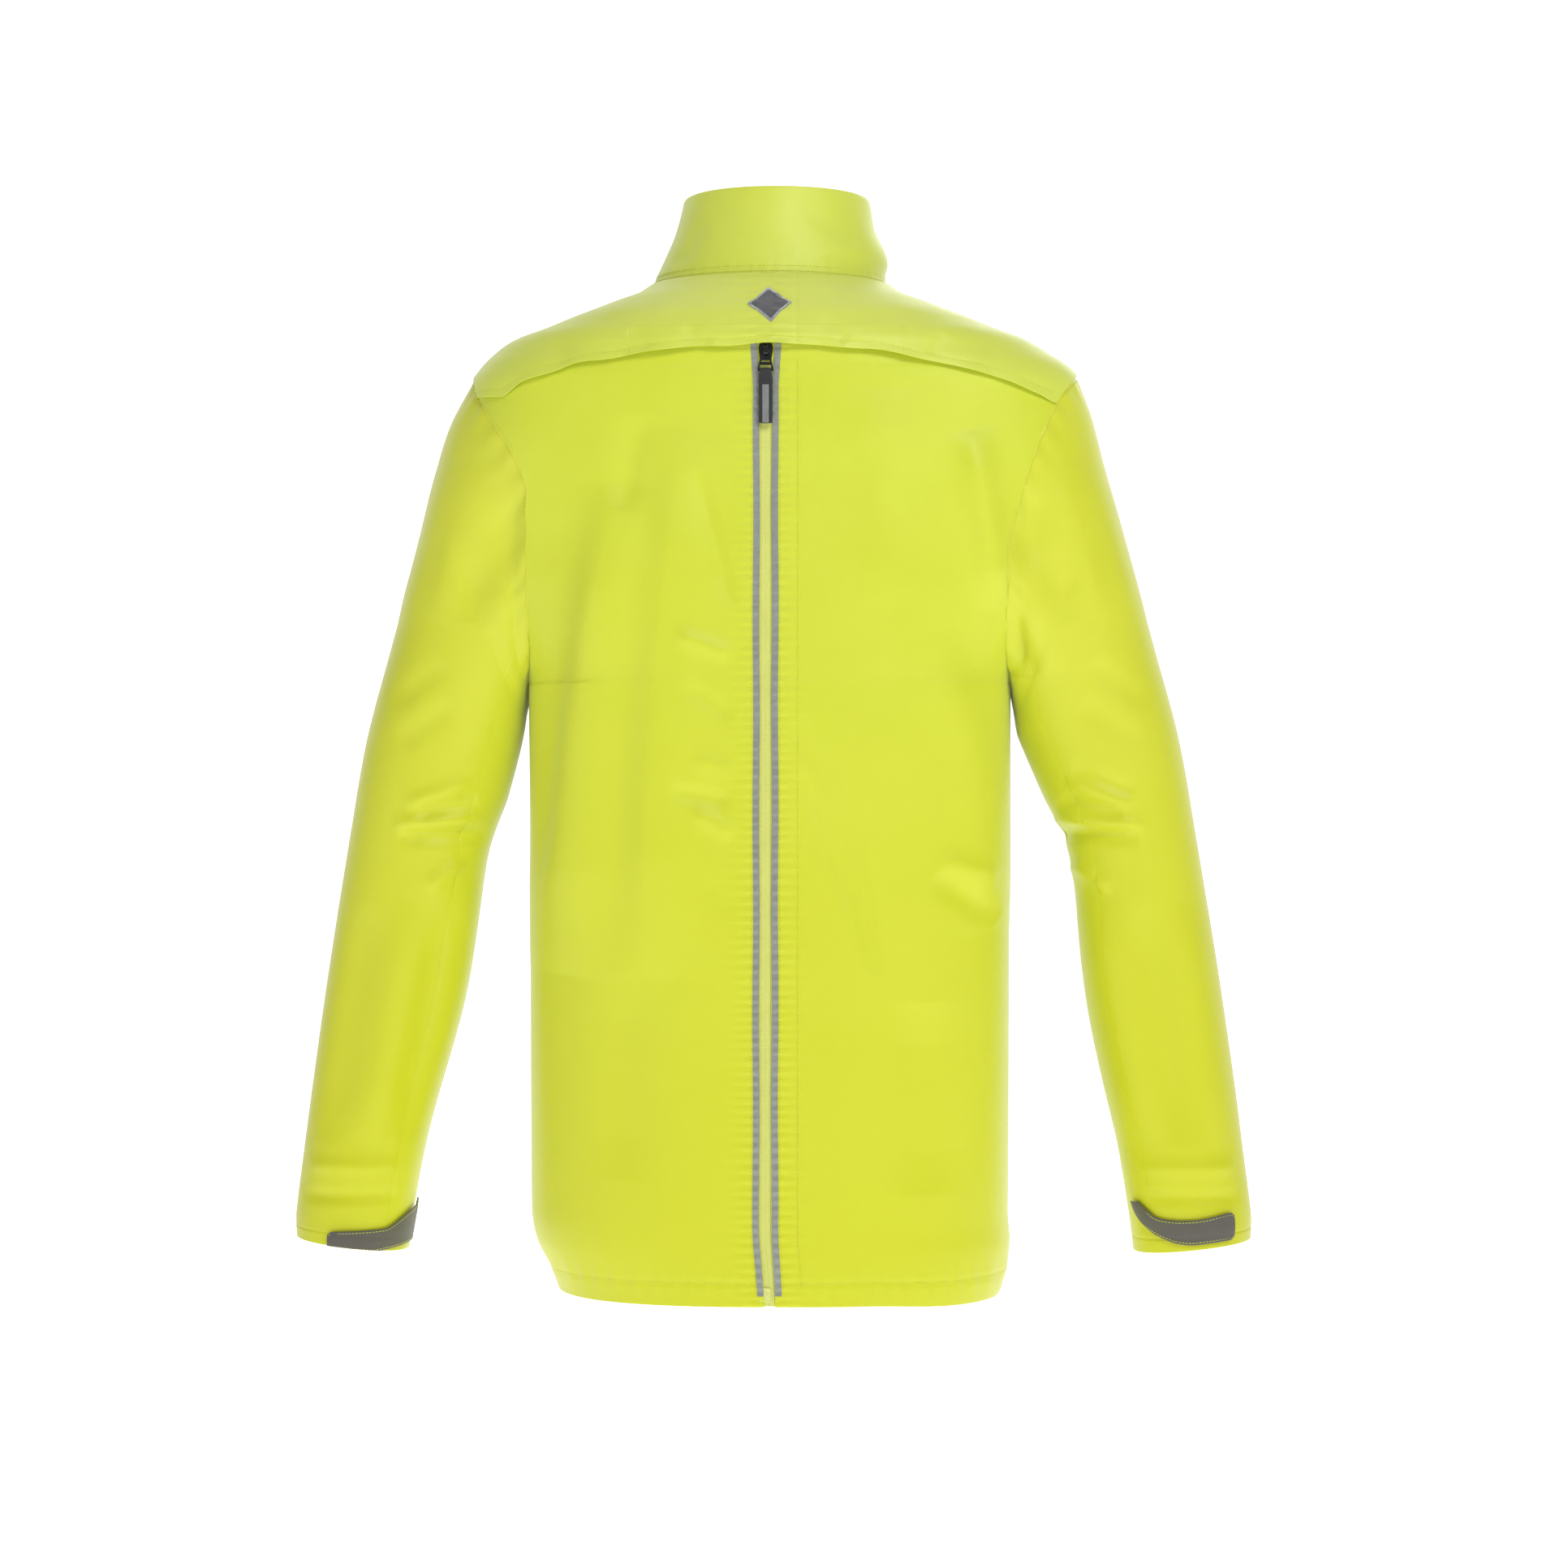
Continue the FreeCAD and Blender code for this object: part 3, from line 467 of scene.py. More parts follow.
def shell(name, outer, inner, mask=None):
    """A closed sheet between two grids of points, with rounded edges; mask leaves cells out."""
    rows, cols = outer.shape[:2]
    index = np.arange(rows * cols).reshape(rows, cols)
    quads = np.stack([index[:-1, :-1], index[:-1, 1:], index[1:, 1:], index[1:, :-1]], -1)
    quads = quads.reshape(-1, 4) if mask is None else quads[mask]
    a, b = outer.reshape(-1, 3), inner.reshape(-1, 3)
    count = len(a)
    normal = np.cross(a[quads[:, 1]] - a[quads[:, 0]], a[quads[:, 2]] - a[quads[:, 1]])
    if np.sum(normal * (a - b)[quads[:, 0]]) < 0:
        quads = quads[:, ::-1]
    edges = np.stack([quads, np.roll(quads, -1, 1)], -1).reshape(-1, 2)
    known = {(int(p), int(q)) for p, q in edges}
    rim = [(p, q) for p, q in known if (q, p) not in known]
    rim.sort()
    used = sorted({p for pair in rim for p in pair})
    middle = {p: 2 * count + k for k, p in enumerate(used)}
    push = np.zeros((count, 3))
    for p, q in rim:
        along = a[q] - a[p]
        out = np.cross(along, (a[p] - b[p]))
        push[p] += out / max(np.linalg.norm(out), 1e-9)
        push[q] += out / max(np.linalg.norm(out), 1e-9)
    lift = np.linalg.norm(a[used] - b[used], axis=-1, keepdims=True)
    size = np.maximum(np.linalg.norm(push[used], axis=-1, keepdims=True), 1e-9)
    extra = (a[used] + b[used]) / 2 + push[used] / size * lift * 0.35
    faces = [tuple(map(int, q)) for q in quads] + [tuple(int(i) + count for i in q[::-1]) for q in quads]
    for p, q in rim:
        faces += [(q, p, middle[p], middle[q]), (middle[q], middle[p], p + count, q + count)]
    points = np.vstack([a, b, extra])
    span = np.linalg.norm(np.diff(outer, axis=1), axis=-1).mean(0)
    rise = np.linalg.norm(np.diff(outer, axis=0), axis=-1).mean(1)
    u = np.concatenate([[0], np.cumsum(span)]) * MM
    v = np.concatenate([[0], np.cumsum(rise)]) * MM
    grid = np.stack(np.broadcast_arrays(u[None, :], v[:, None]), -1).reshape(-1, 2)
    obj = new_object(name, points, faces, np.vstack([grid, grid, grid[used]]))
    drop_loose(obj)
    obj.data.set_sharp_from_angle(angle=math.radians(50))
    return obj


def drop_loose(obj):
    """Take away points that no face uses."""
    bm = bmesh.new()
    bm.from_mesh(obj.data)
    bmesh.ops.delete(bm, geom=[v for v in bm.verts if not v.link_faces], context="VERTS")
    bm.to_mesh(obj.data)
    bm.free()


def even(surface, first, last, levels, count):
    """Angles for each level, evenly spaced along the cloth between two angles."""
    share = np.linspace(0, 1, 240)
    fine = first[:, None] + (last - first)[:, None] * share
    points = surface(fine, levels[:, None])
    length = np.cumsum(np.linalg.norm(np.diff(points, axis=1), axis=-1), axis=1)
    length = np.hstack([np.zeros((len(levels), 1)), length])
    wanted = np.linspace(0, 1, count)
    return np.array([np.interp(wanted * row[-1], row, angles) for row, angles in zip(length, fine)])


def finish_piece(obj, material, nodes=(), body="jacket"):
    """Give a piece its material and replaced nodes, and attach it to the body it moves with; given a pair of
    bodies, the piece only has its transform baked and is attached to neither.
    """
    obj.data.materials.append(material)
    if nodes:
        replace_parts(obj, *nodes)
    if isinstance(body, tuple):
        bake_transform(obj)
    else:
        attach(obj, body)
    return obj


def as_sheet(plain):
    """Measure the cell areas of a cut piece of cloth along its plain surface; nothing is done with them."""
    cells = np.cross(plain[1:, 1:] - plain[:-1, :-1], plain[1:, :-1] - plain[:-1, 1:])
    cells = np.linalg.norm(cells, axis=-1) / 2


# Where the flap's hinge line lies and a point lower on the flap, in metres.
YOKE_BLEND = ("jacket", "yoke_flap", (0, -0.1231, 0.7166), (0, -0.1245, 0.7060))


def sleeve_blend(side, name):
    """The body, the sleeve, and two points in metres on the cloth over the shoulder joint, between the body
    and the sleeve.
    """
    start, end = (side * 0.207, -0.016, 0.571), (side * 0.2511, -0.016, 0.5619)
    return "jacket", "sleeve_" + name, start, end


# ------------------------------------------------------------------ materials
def graph(name):
    material = bpy.data.materials.new(name)
    material.use_nodes = True
    tree = material.node_tree
    shader = tree.nodes["Principled BSDF"]
    return material, tree, shader


def add_node(tree, kind, inputs=None, **settings):
    node = tree.nodes.new(kind)
    for key, value in settings.items():
        setattr(node, key, value)
    for key, value in (inputs or {}).items():
        if isinstance(value, bpy.types.NodeSocket):
            tree.links.new(value, node.inputs[key])
        else:
            node.inputs[key].default_value = value
    return node


def math_node(tree, operation, a, b=0.0):
    return add_node(tree, "ShaderNodeMath", {0: a, 1: b}, operation=operation).outputs[0]


def noise(tree, vector, scale, detail=3.0, roughness=0.5):
    node = add_node(tree, "ShaderNodeTexNoise", {"Vector": vector, "Scale": scale, "Detail": detail,
                                                 "Roughness": roughness})
    return node.outputs["Fac"]


def ramp(tree, value, stops):
    node = add_node(tree, "ShaderNodeValToRGB", {"Fac": value})
    band = node.color_ramp
    while len(band.elements) < len(stops):
        band.elements.new(0.5)
    for element, (place, colour) in zip(band.elements, stops):
        element.position = place
        element.color = (*colour, 1)
    return node.outputs["Color"]


def weave(tree, vector, pitch, tilt=0.0):
    """Height of a plain weave: two crossing sets of threads, one over the other by turns."""
    turn = add_node(tree, "ShaderNodeMapping", {"Vector": vector, "Rotation": (0, 0, tilt),
                                                "Scale": (1 / pitch, 1 / pitch, 1 / pitch)})
    parts = add_node(tree, "ShaderNodeSeparateXYZ", {"Vector": turn.outputs[0]})
    x, y = parts.outputs["X"], parts.outputs["Y"]
    warp = math_node(tree, "ABSOLUTE", math_node(tree, "SINE", math_node(tree, "MULTIPLY", x, math.pi)))
    weft = math_node(tree, "ABSOLUTE", math_node(tree, "SINE", math_node(tree, "MULTIPLY", y, math.pi)))
    cell = math_node(tree, "ADD", math_node(tree, "FLOOR", x), math_node(tree, "FLOOR", y))
    over = math_node(tree, "PINGPONG", cell, 1.0)
    kept = math_node(tree, "MULTIPLY", warp, over)
    other = math_node(tree, "MULTIPLY", weft, math_node(tree, "SUBTRACT", 1.0, over))
    return math_node(tree, "ADD", kept, other)


def bump(tree, shader, layers):
    """Bumps on top of each other: (height, distance in metres, strength)."""
    previous = None
    for height, distance, strength in layers:
        inputs = {"Height": height, "Distance": distance, "Strength": strength}
        if previous:
            inputs["Normal"] = previous
        previous = add_node(tree, "ShaderNodeBump", inputs).outputs["Normal"]
    tree.links.new(previous, shader.inputs["Normal"])


def cloth_vector(tree):
    return add_node(tree, "ShaderNodeUVMap", uv_map="cloth").outputs["UV"]


def place_vector(tree):
    return add_node(tree, "ShaderNodeTexCoord").outputs["Object"]


def shell_material(name, light, dark, low, span, roughness=0.42):
    """Coated woven shell cloth: fine weave, soft crumple, slight random unevenness of dye in the mottle, and
    painted shade: between the two UV heights in span the base colour changes from the mottle to low, a colour
    painted for the cloth in shade.
    """
    material, tree, shader = graph(name)
    place = place_vector(tree)
    mottle = noise(tree, place, 9.0, 4.0, 0.6)
    colour = ramp(tree, mottle, [(0.3, dark), (0.7, light)])
    # painted shade: between the two UV heights in span the base colour changes from the mottle to low, which
    # stands for the cloth in shade, without its pale sheen
    parts = add_node(tree, "ShaderNodeSeparateXYZ", {"Vector": cloth_vector(tree)})
    share = add_node(tree, "ShaderNodeMapRange", {"Value": parts.outputs["Y"], "From Min": span[0],
                                                  "From Max": span[1]}, clamp=True)
    colour = add_node(tree, "ShaderNodeMixRGB", {"Fac": share.outputs[0], "Color1": (*low, 1),
                                                 "Color2": colour}).outputs[0]
    tree.links.new(colour, shader.inputs["Base Color"])
    grain = noise(tree, place, 900.0, 2.0)
    gloss = add_node(tree, "ShaderNodeMapRange", {"Value": grain, "To Min": roughness - 0.06,
                                                  "To Max": roughness + 0.08})
    tree.links.new(gloss.outputs[0], shader.inputs["Roughness"])
    shader.inputs["Specular IOR Level"].default_value = 0.5
    shader.inputs["Sheen Weight"].default_value = 0.25
    shader.inputs["Sheen Roughness"].default_value = 0.45
    crumple = noise(tree, place, 42.0, 5.0, 0.62)
    small = noise(tree, place, 190.0, 3.0, 0.6)
    bump(tree, shader, [(weave(tree, cloth_vector(tree), 0.0006), 0.00008, 0.35), (small, 0.0002, 0.30),
                        (crumple, 0.0011, 0.34)])
    return material


def plain_material(name, colour, roughness, metallic=0.0, grain=600.0, depth=0.0001, spread=0.12, coat=0.0):
    """Moulded, painted or metal surface with slight unevenness."""
    material, tree, shader = graph(name)
    place = place_vector(tree)
    value = noise(tree, place, grain, 4.0)
    dark = tuple(c * (1 - spread) for c in colour)
    light = tuple(min(1, c * (1 + spread)) for c in colour)
    tree.links.new(ramp(tree, value, [(0.3, dark), (0.7, light)]), shader.inputs["Base Color"])
    gloss = add_node(tree, "ShaderNodeMapRange", {"Value": noise(tree, place, grain / 7, 3.0),
                                                  "To Min": max(0.02, roughness - 0.1),
                                                  "To Max": roughness + 0.1})
    tree.links.new(gloss.outputs[0], shader.inputs["Roughness"])
    shader.inputs["Metallic"].default_value = metallic
    shader.inputs["Coat Weight"].default_value = coat
    bump(tree, shader, [(value, depth, 0.4)])
    return material


def woven_material(name, colour, pitch, roughness=0.75, sheen=0.3, metallic=0.0, depth=0.0002, tilt=0.0):
    """Tape, webbing and lining: the weave shows in height and colour."""
    material, tree, shader = graph(name)
    place = place_vector(tree)
    threads = weave(tree, cloth_vector(tree), pitch, tilt)
    mottle = noise(tree, place, 60.0, 3.0)
    both = math_node(tree, "ADD", math_node(tree, "MULTIPLY", threads, 0.75),
                     math_node(tree, "MULTIPLY", mottle, 0.35))
    dark = tuple(c * 0.72 for c in colour)
    light = tuple(min(1, c * 1.1) for c in colour)
    tree.links.new(ramp(tree, both, [(0.1, dark), (0.85, light)]), shader.inputs["Base Color"])
    gloss = add_node(tree, "ShaderNodeMapRange", {"Value": threads, "To Min": roughness + 0.08,
                                                  "To Max": roughness - 0.08})
    tree.links.new(gloss.outputs[0], shader.inputs["Roughness"])
    shader.inputs["Metallic"].default_value = metallic
    shader.inputs["Sheen Weight"].default_value = sheen
    bump(tree, shader, [(threads, depth, 0.6)])
    return material


def reflective_material(name, colour):
    """Glass-bead tape: grey, slightly pearly, with a honeycomb of tiny cells."""
    material, tree, shader = graph(name)
    place = place_vector(tree)
    cells = add_node(tree, "ShaderNodeTexVoronoi", {"Vector": place, "Scale": 1500.0}).outputs["Distance"]
    wear = noise(tree, place, 120.0, 4.0)
    both = math_node(tree, "ADD", math_node(tree, "MULTIPLY", cells, 0.4),
                     math_node(tree, "MULTIPLY", wear, 0.7))
    dark = tuple(c * 0.78 for c in colour)
    tree.links.new(ramp(tree, both, [(0.2, dark), (0.8, colour)]), shader.inputs["Base Color"])
    gloss = add_node(tree, "ShaderNodeMapRange", {"Value": wear, "To Min": 0.32, "To Max": 0.5})
    tree.links.new(gloss.outputs[0], shader.inputs["Roughness"])
    shader.inputs["Metallic"].default_value = 0.35
    bump(tree, shader, [(cells, 0.0001, 0.25)])
    return material


# The same hi-vis cloth in three copies with painted light. Shell: painted shade, its base colour turns more
# saturated, without the pale sheen, from 0.66 m down to 0.05 m up the cloth, towards the hem.
hi_vis = shell_material("hi_vis_shell", (0.72, 0.80, 0.050), (0.67, 0.75, 0.030), (0.715, 0.755, 0.012),
                        (0.05, 0.66))
# Sleeves: painted shade, the base colour turns darker and more saturated from 0.02 m to 0.5 m down the sleeve,
# towards the cuff.
hi_vis_sleeve_painted_shade = shell_material("hi_vis_sleeve_painted_shade", (0.73, 0.775, 0.045), (0.68, 0.73, 0.025),
                               (0.67, 0.70, 0.006), (0.50, 0.02))
# Yoke, its flap and the collar: painted sheen, a paler and bluer base colour than the rest of the same cloth;
# over the lowest 5 cm of its cloth the mottle gives way to one even colour.
hi_vis_yoke_painted_sheen = shell_material("hi_vis_yoke_painted_sheen", (0.74, 0.825, 0.105), (0.70, 0.78, 0.08), (0.71, 0.80, 0.09),
                             (0.0, 0.05))
lining = woven_material("lining_cloth", (0.62, 0.66, 0.22), 0.0011, 0.6)
tape_cloth = woven_material("zip_tape", (0.78, 0.82, 0.20), 0.0009, 0.7)
coil_plastic = plain_material("zip_coil", (0.76, 0.80, 0.20), 0.35)
reflective = reflective_material("reflective_tape", (0.36, 0.385, 0.35))
slider_paint = plain_material("slider_metal", (0.012, 0.012, 0.013), 0.28, metallic=0.3, coat=0.4)
webbing = woven_material("black_webbing", (0.018, 0.018, 0.020), 0.0012, 0.6, depth=0.0004)
cuff_grey = woven_material("cuff_reflective", (0.115, 0.11, 0.09), 0.0009, 0.55, sheen=0.2, depth=0.00015)
pile = woven_material("hook_loop", (0.05, 0.05, 0.045), 0.0016, 0.9, sheen=0.6, depth=0.0006)
badge_dark = plain_material("badge_rubber", (0.11, 0.11, 0.12), 0.45, grain=500.0)
badge_rim = plain_material("badge_rim", (0.42, 0.43, 0.44), 0.35, metallic=0.5, grain=500.0)
thread = woven_material("thread", (0.74, 0.79, 0.06), 0.0006, 0.6, sheen=0.1)
stripe_grey = reflective_material("tab_stripe", (0.30, 0.31, 0.31))
pin_plastic = plain_material("pin_plastic", (0.74, 0.78, 0.22), 0.35)


# ------------------------------------------------------------------ torso, back and front
def lower_levels(low, high, pitch):
    """Even heights, no further apart than the pitch."""
    return np.linspace(low, high, int((high - low) / pitch) + 2)


PITCH = 2.0
PANEL_TOP = 748.0
levels = lower_levels(0.0, PANEL_TOP, PITCH)
for side, name in ((1, "right"), (-1, "left")):
    centre, edge = torso_angle(EDGE, levels), side_angle(levels, side)
    angle = even(torso_base, centre, edge, levels, 86)
    g = side_of(angle, side)
    z = levels[:, None] + 0 * g
    under = -1.2 * step(700, 722, z)
    panel = shell("back_panel_" + name, torso(g, z, under), torso(g, z, under - SHELL))
    finish_piece(panel, hi_vis, ["back_panel_" + name])
    as_sheet(torso_base(g, z))

    pocket_low, pocket_high = POCKET_BOTTOM, POCKET_BOTTOM + POCKET_SLOT
    front_levels = np.unique(np.concatenate([lower_levels(0, pocket_low, PITCH),
                                             lower_levels(pocket_low, pocket_high, PITCH),
                                             lower_levels(pocket_high, NECK - 1, PITCH)]))
    slot_middle = POCKET_X + POCKET_LEAN * (front_levels - pocket_low)
    slot_middle = np.minimum(slot_middle, torso_ring(front_levels)[0] * 0.62)
    centre = torso_angle(EDGE, front_levels, True)
    inner_edge = torso_angle(slot_middle - EDGE, front_levels, True)
    outer_edge = torso_angle(slot_middle + EDGE, front_levels, True)
    side_edge = side_angle(front_levels, side, True)
    parts = ((centre, inner_edge, 44), (inner_edge, outer_edge, 4), (outer_edge, side_edge, 42))
    spans = [even(torso_base, first, last, front_levels, count) for first, last, count in parts]
    angle = np.hstack([spans[0], spans[1][:, 1:], spans[2][:, 1:]])
    g = side_of(angle, side)
    z = front_levels[:, None] + 0 * g
    keep = np.ones((len(front_levels) - 1, angle.shape[1] - 1), bool)
    rows = (front_levels[:-1] > pocket_low - 0.5) & (front_levels[:-1] < pocket_high - 0.5)
    keep[np.ix_(rows, np.arange(43, 46))] = False
    panel = shell("front_panel_" + name, torso(g, z), torso(g, z, -SHELL), keep)
    finish_piece(panel, hi_vis, ["front_panel_" + name])
    as_sheet(torso_base(g, z))


# ------------------------------------------------------------------ yoke with its loose edge
FLAP_HALF, FLAP_TOP = 99.8, 716.6


def yoke_edge_height(x):
    """Height of the yoke's free edge."""
    ripple = 0.5 * np.sin(x / 12.0 + 0.6) + 0.3 * np.sin(x / 7.1 + 2.0)
    return smooth_table(YOKE_EDGE, x)[0] + ripple


def yoke(g, z, edge, out=0.0):
    """The yoke's cloth: raised over the panels, rippled along its free edge."""
    x = torso_base(g, z)[..., 0]
    raised = YOKE_RAISE * (1 - step(722, 745, z)) * (1 - 0.75 * step(110, 170, np.abs(x)))
    raised = np.maximum(raised, 0.8)
    free = np.exp(-(z - edge) / 11.0)
    wave = (0.9 * np.sin(x / 13.0 + 1.1) + 0.6 * np.sin(x / 7.3 + 0.4) + 0.2 * np.sin(x / 3.9)) * free
    lip = 1.5 * free
    dents = stroke_height(x, z, YOKE_FOLDS) * raised / YOKE_RAISE
    stitch = -0.35 * np.exp(-((z - edge - 5.0) / 1.1) ** 2)
    point = torso(g, z, raised + wave + lip + dents + stitch + out)
    level = (1 - step(712, 730, z)) * (1 - step(110, 160, np.abs(x)))
    point[..., 2] = z * level + point[..., 2] * (1 - level)
    return point


YOKE_FOLDS = [
    ([(-60, 716), (-48, 706), (-40, 700)], 5, 6, -1.4),
    ([(-98, 716), (-90, 706), (-86, 698)], 5, 6, -1.3),
    ([(40, 722), (52, 712), (58, 702)], 5, 6, -1.2),
    ([(130, 712), (124, 702), (120, 694)], 5, 6, -1.2),
    ([(-160, 706), (-150, 698), (-146, 688)], 6, 6, -1.3),
    ([(170, 700), (176, 692), (180, 684)], 6, 6, -1.3),
    ([(-30, 744), (0, 736), (36, 742)], 8, 8, -0.8),
    ([(-120, 728), (-90, 722), (-60, 726)], 8, 8, 0.8),
]


def yoke_angle(u, z):
    """Angle on the torso for a column u of the yoke: 0 the middle, 1 the flap's end, 2 the armhole."""
    flap_x = FLAP_HALF * (1 - 0.5 * step(FLAP_TOP, NECK, z))
    side_x = np.where(z < ARM_HIGH, arm_x(z, np.sign(u)), 0.9995 * torso_ring(z)[0])
    x = np.minimum(np.abs(u), 1) * flap_x + (side_x - flap_x) * np.clip(np.abs(u) - 1, 0, 1)
    g = torso_angle(x, z) + 0.10 * step(688, 700, z) * step(1.6, 2, np.abs(u))
    return np.where(u < 0, np.pi - g, g)


def yoke_rows(u, low, high, rise):
    """Angles and heights of the yoke's grid between two edges."""
    z = (low + (high - low) * rise[:, None]) + 0 * u
    return yoke_angle(u[None, :], z), z


FLAP_GAP = 0.0006
inner_u = np.linspace(-1 + FLAP_GAP, 1 - FLAP_GAP, 125)
outer_u = 1 + np.sin(np.linspace(0, np.pi / 2, 76))
columns = np.concatenate([-outer_u[::-1], inner_u, outer_u])
edge = np.full(len(columns), 690.0)
for _ in range(14):
    edge = (edge + yoke_edge_height(torso_base(yoke_angle(columns, edge), edge)[:, 0])) / 2
below, above = np.linspace(0, 1, 20), np.linspace(0, 1, 26)
g_low, z_low = yoke_rows(columns, edge, FLAP_TOP + 0.05, below)
g_high, z_high = yoke_rows(columns, FLAP_TOP + 0.05, NECK - 1.0, above)
g, z = np.vstack([g_low, g_high[1:]]), np.vstack([z_low, z_high[1:]])
keep = np.ones((len(z) - 1, len(columns) - 1), bool)
keep[:len(below) - 1, len(outer_u) - 1:len(outer_u) + len(inner_u)] = False
yoke_piece = shell("back_yoke", *[yoke(g, z, edge[None, :], layer) for layer in (SHELL + 0.5, 0.5)], keep)
finish_piece(yoke_piece, hi_vis_yoke_painted_sheen, ["back_yoke"])
as_sheet(torso_base(g, z))

flap_edge = edge[len(outer_u):-len(outer_u)]
g, z = yoke_rows(inner_u, flap_edge, FLAP_TOP, np.linspace(0, 1, 14))
flap = shell("yoke_flap", *[yoke(g, z, flap_edge[None, :], layer) for layer in (SHELL + 0.5, 0.5)])
as_sheet(torso_base(g, z))
finish_piece(flap, hi_vis_yoke_painted_sheen, ["yoke_flap"], YOKE_BLEND)


# ------------------------------------------------------------------ collar
def collar_piece(name, gap, low, high, out, thick, material):
    zs = lower_levels(low, high, 1.6)
    half, _ = smooth_table(COLLAR, zs)
    start = np.arccos(np.clip((gap / half) ** (FRONT_POWER / 2), 0, 1))
    angle = even(collar_base, start, -np.pi - start, zs, 200)
    z = zs[:, None] + 0 * angle
    round_top = -0.5 * thick * step(high - 1.5, high, z)
    arch = 1.6 * np.sin(np.clip(-np.sin(angle), 0, 1) * np.pi / 2) * step(NECK, high, z)
    wide = 6.5 * step(20, 80, collar_base(angle, z)[..., 0]) * np.exp(-((z - 783) / 16.0) ** 2)
    up = np.stack([5.0 * step(NECK, COLLAR_TOP, z) + wide, 0 * z, arch - 0.8], -1)
    up = up * step(NECK, NECK + 20, z)[..., None]
    layers = out + round_top, out - thick - round_top
    piece = shell(name, *[collar(angle, z, layer) + up for layer in layers])
    as_sheet(collar_base(angle, z))
    return finish_piece(piece, material, [name])


collar_piece("collar_outer", EDGE, NECK - 3.0, COLLAR_TOP, 0.2, SHELL + 0.3, hi_vis_yoke_painted_sheen)
collar_piece("collar_lining", 15.0, NECK + 0.5, COLLAR_TOP - 2.5, -1.2, 0.7, lining)


# ------------------------------------------------------------------ sleeves
def sleeve_piece(name, side, first, last, vs, count, out, thick, material, nodes, body):
    angle = even(lambda a, v: sleeve_base(a, v, side), first + 0 * vs, last + 0 * vs, vs, count)
    v = vs[:, None] + 0 * angle
    piece = shell(name, sleeve(angle, v, side, out), sleeve(angle, v, side, out - thick))
    as_sheet(sleeve_base(angle, v, side))
    return finish_piece(piece, material, nodes, body)


UNDER_ARM = math.radians(130)
sleeve_levels = np.concatenate([np.linspace(0, 0.2, 40)[:-1], np.linspace(0.2, 1, 190)])
for side, name in ((1, "right"), (-1, "left")):
    across = sleeve_blend(side, name)
    sleeve_piece("upper_sleeve_" + name, side, -UNDER_ARM, UNDER_ARM, sleeve_levels, 150, 0.0, SHELL,
                 hi_vis_sleeve_painted_shade, ["upper_sleeve_" + name], across)
    under = UNDER_ARM + 0.004        # leaves a hair's breadth between the two cloths
    sleeve_piece("under_sleeve_" + name, side, under, 2 * np.pi - under, sleeve_levels, 60, 0.0, SHELL,
                 hi_vis_sleeve_painted_shade, ["under_sleeve_" + name], across)
    sleeve_piece("cuff_hem_" + name, side, -np.pi + 0.02, np.pi - 0.02, np.linspace(0.93, 0.998, 12), 120,
                 -1.0, 0.6, lining, ["cuff_hem_" + name], "sleeve_" + name)


# ------------------------------------------------------------------ hem facings
for side, name in ((1, "r"), (-1, "l")):
    zs = lower_levels(0.4, HEM_STITCH, 1.7)
    angle = even(torso_base, torso_angle(15.0, zs), torso_angle(15.0, zs, True), zs, 150)
    g = side_of(angle, side)
    z = zs[:, None] + 0 * g
    piece = shell("hem_facing_" + name, torso(g, z, -1.2), torso(g, z, -1.8))
    as_sheet(torso_base(g, z))
    full = "right" if side > 0 else "left"
    finish_piece(piece, lining, ["hem_facing_" + full])


# ------------------------------------------------------------------ rows of stitches
def unit(v):
    return v / np.maximum(np.linalg.norm(v, axis=-1, keepdims=True), 1e-9)


def capsules(name, centre, along, out, length, thick):
    """Many short threads in one mesh: centres, directions and normals of each, one length and thickness."""
    along, out = unit(along), unit(out)
    side = np.cross(along, out)
    rings = [(-1.0, 0.35), (-0.72, 1.0), (0.72, 1.0), (1.0, 0.35)]
    turn = np.arange(6) * math.pi / 3
    points = []
    for share, fat in rings:
        for a in turn:
            points.append(centre + along * (share * length / 2)
                          + (side * math.cos(a) * 0.5 + out * math.sin(a) * 0.42) * thick * fat)
    points = np.stack(points, 1).reshape(-1, 3)
    faces = []
    for k in range(len(centre)):
        start = 24 * k
        for r in range(3):
            low = start + 6 * r
            for i in range(6):
                j = (i + 1) % 6
                faces.append((low + i, low + j, low + 6 + j, low + 6 + i))
        faces.append(tuple(start + i for i in range(5, -1, -1)))
        faces.append(tuple(start + 18 + i for i in range(6)))
    flat = np.stack([points[:, 0] + points[:, 1], points[:, 2]], -1) * MM
    obj = new_object(name, points, faces, flat)
    bm = bmesh.new()
    bm.from_mesh(obj.data)
    bmesh.ops.recalc_face_normals(bm, faces=bm.faces[:])
    bm.to_mesh(obj.data)
    bm.free()
    return obj


FINE_STITCH = (2.9, 2.0, 0.45)   # pitch, length and thickness of the topstitching


def stitch_row(name, path, out, pitch=3.1, length=2.2, thick=0.55, slot="hi_vis_shell", body="jacket"):
    """Stitches at a pitch along a line on the cloth."""
    gap = np.linalg.norm(np.diff(path, axis=0), axis=-1)
    run = np.concatenate([[0], np.cumsum(gap)])
    places = np.arange(pitch / 2, run[-1], pitch)
    centre = np.stack([np.interp(places, run, path[:, i]) for i in range(3)], -1)
    normal = np.stack([np.interp(places, run, out[:, i]) for i in range(3)], -1)
    ahead = np.stack([np.interp(places + 0.5, run, path[:, i]) for i in range(3)], -1)
    behind = np.stack([np.interp(places - 0.5, run, path[:, i]) for i in range(3)], -1)
    obj = capsules(name, centre + unit(normal) * 0.12, ahead - behind, normal, length, thick)
    return finish_piece(obj, thread, (), body)


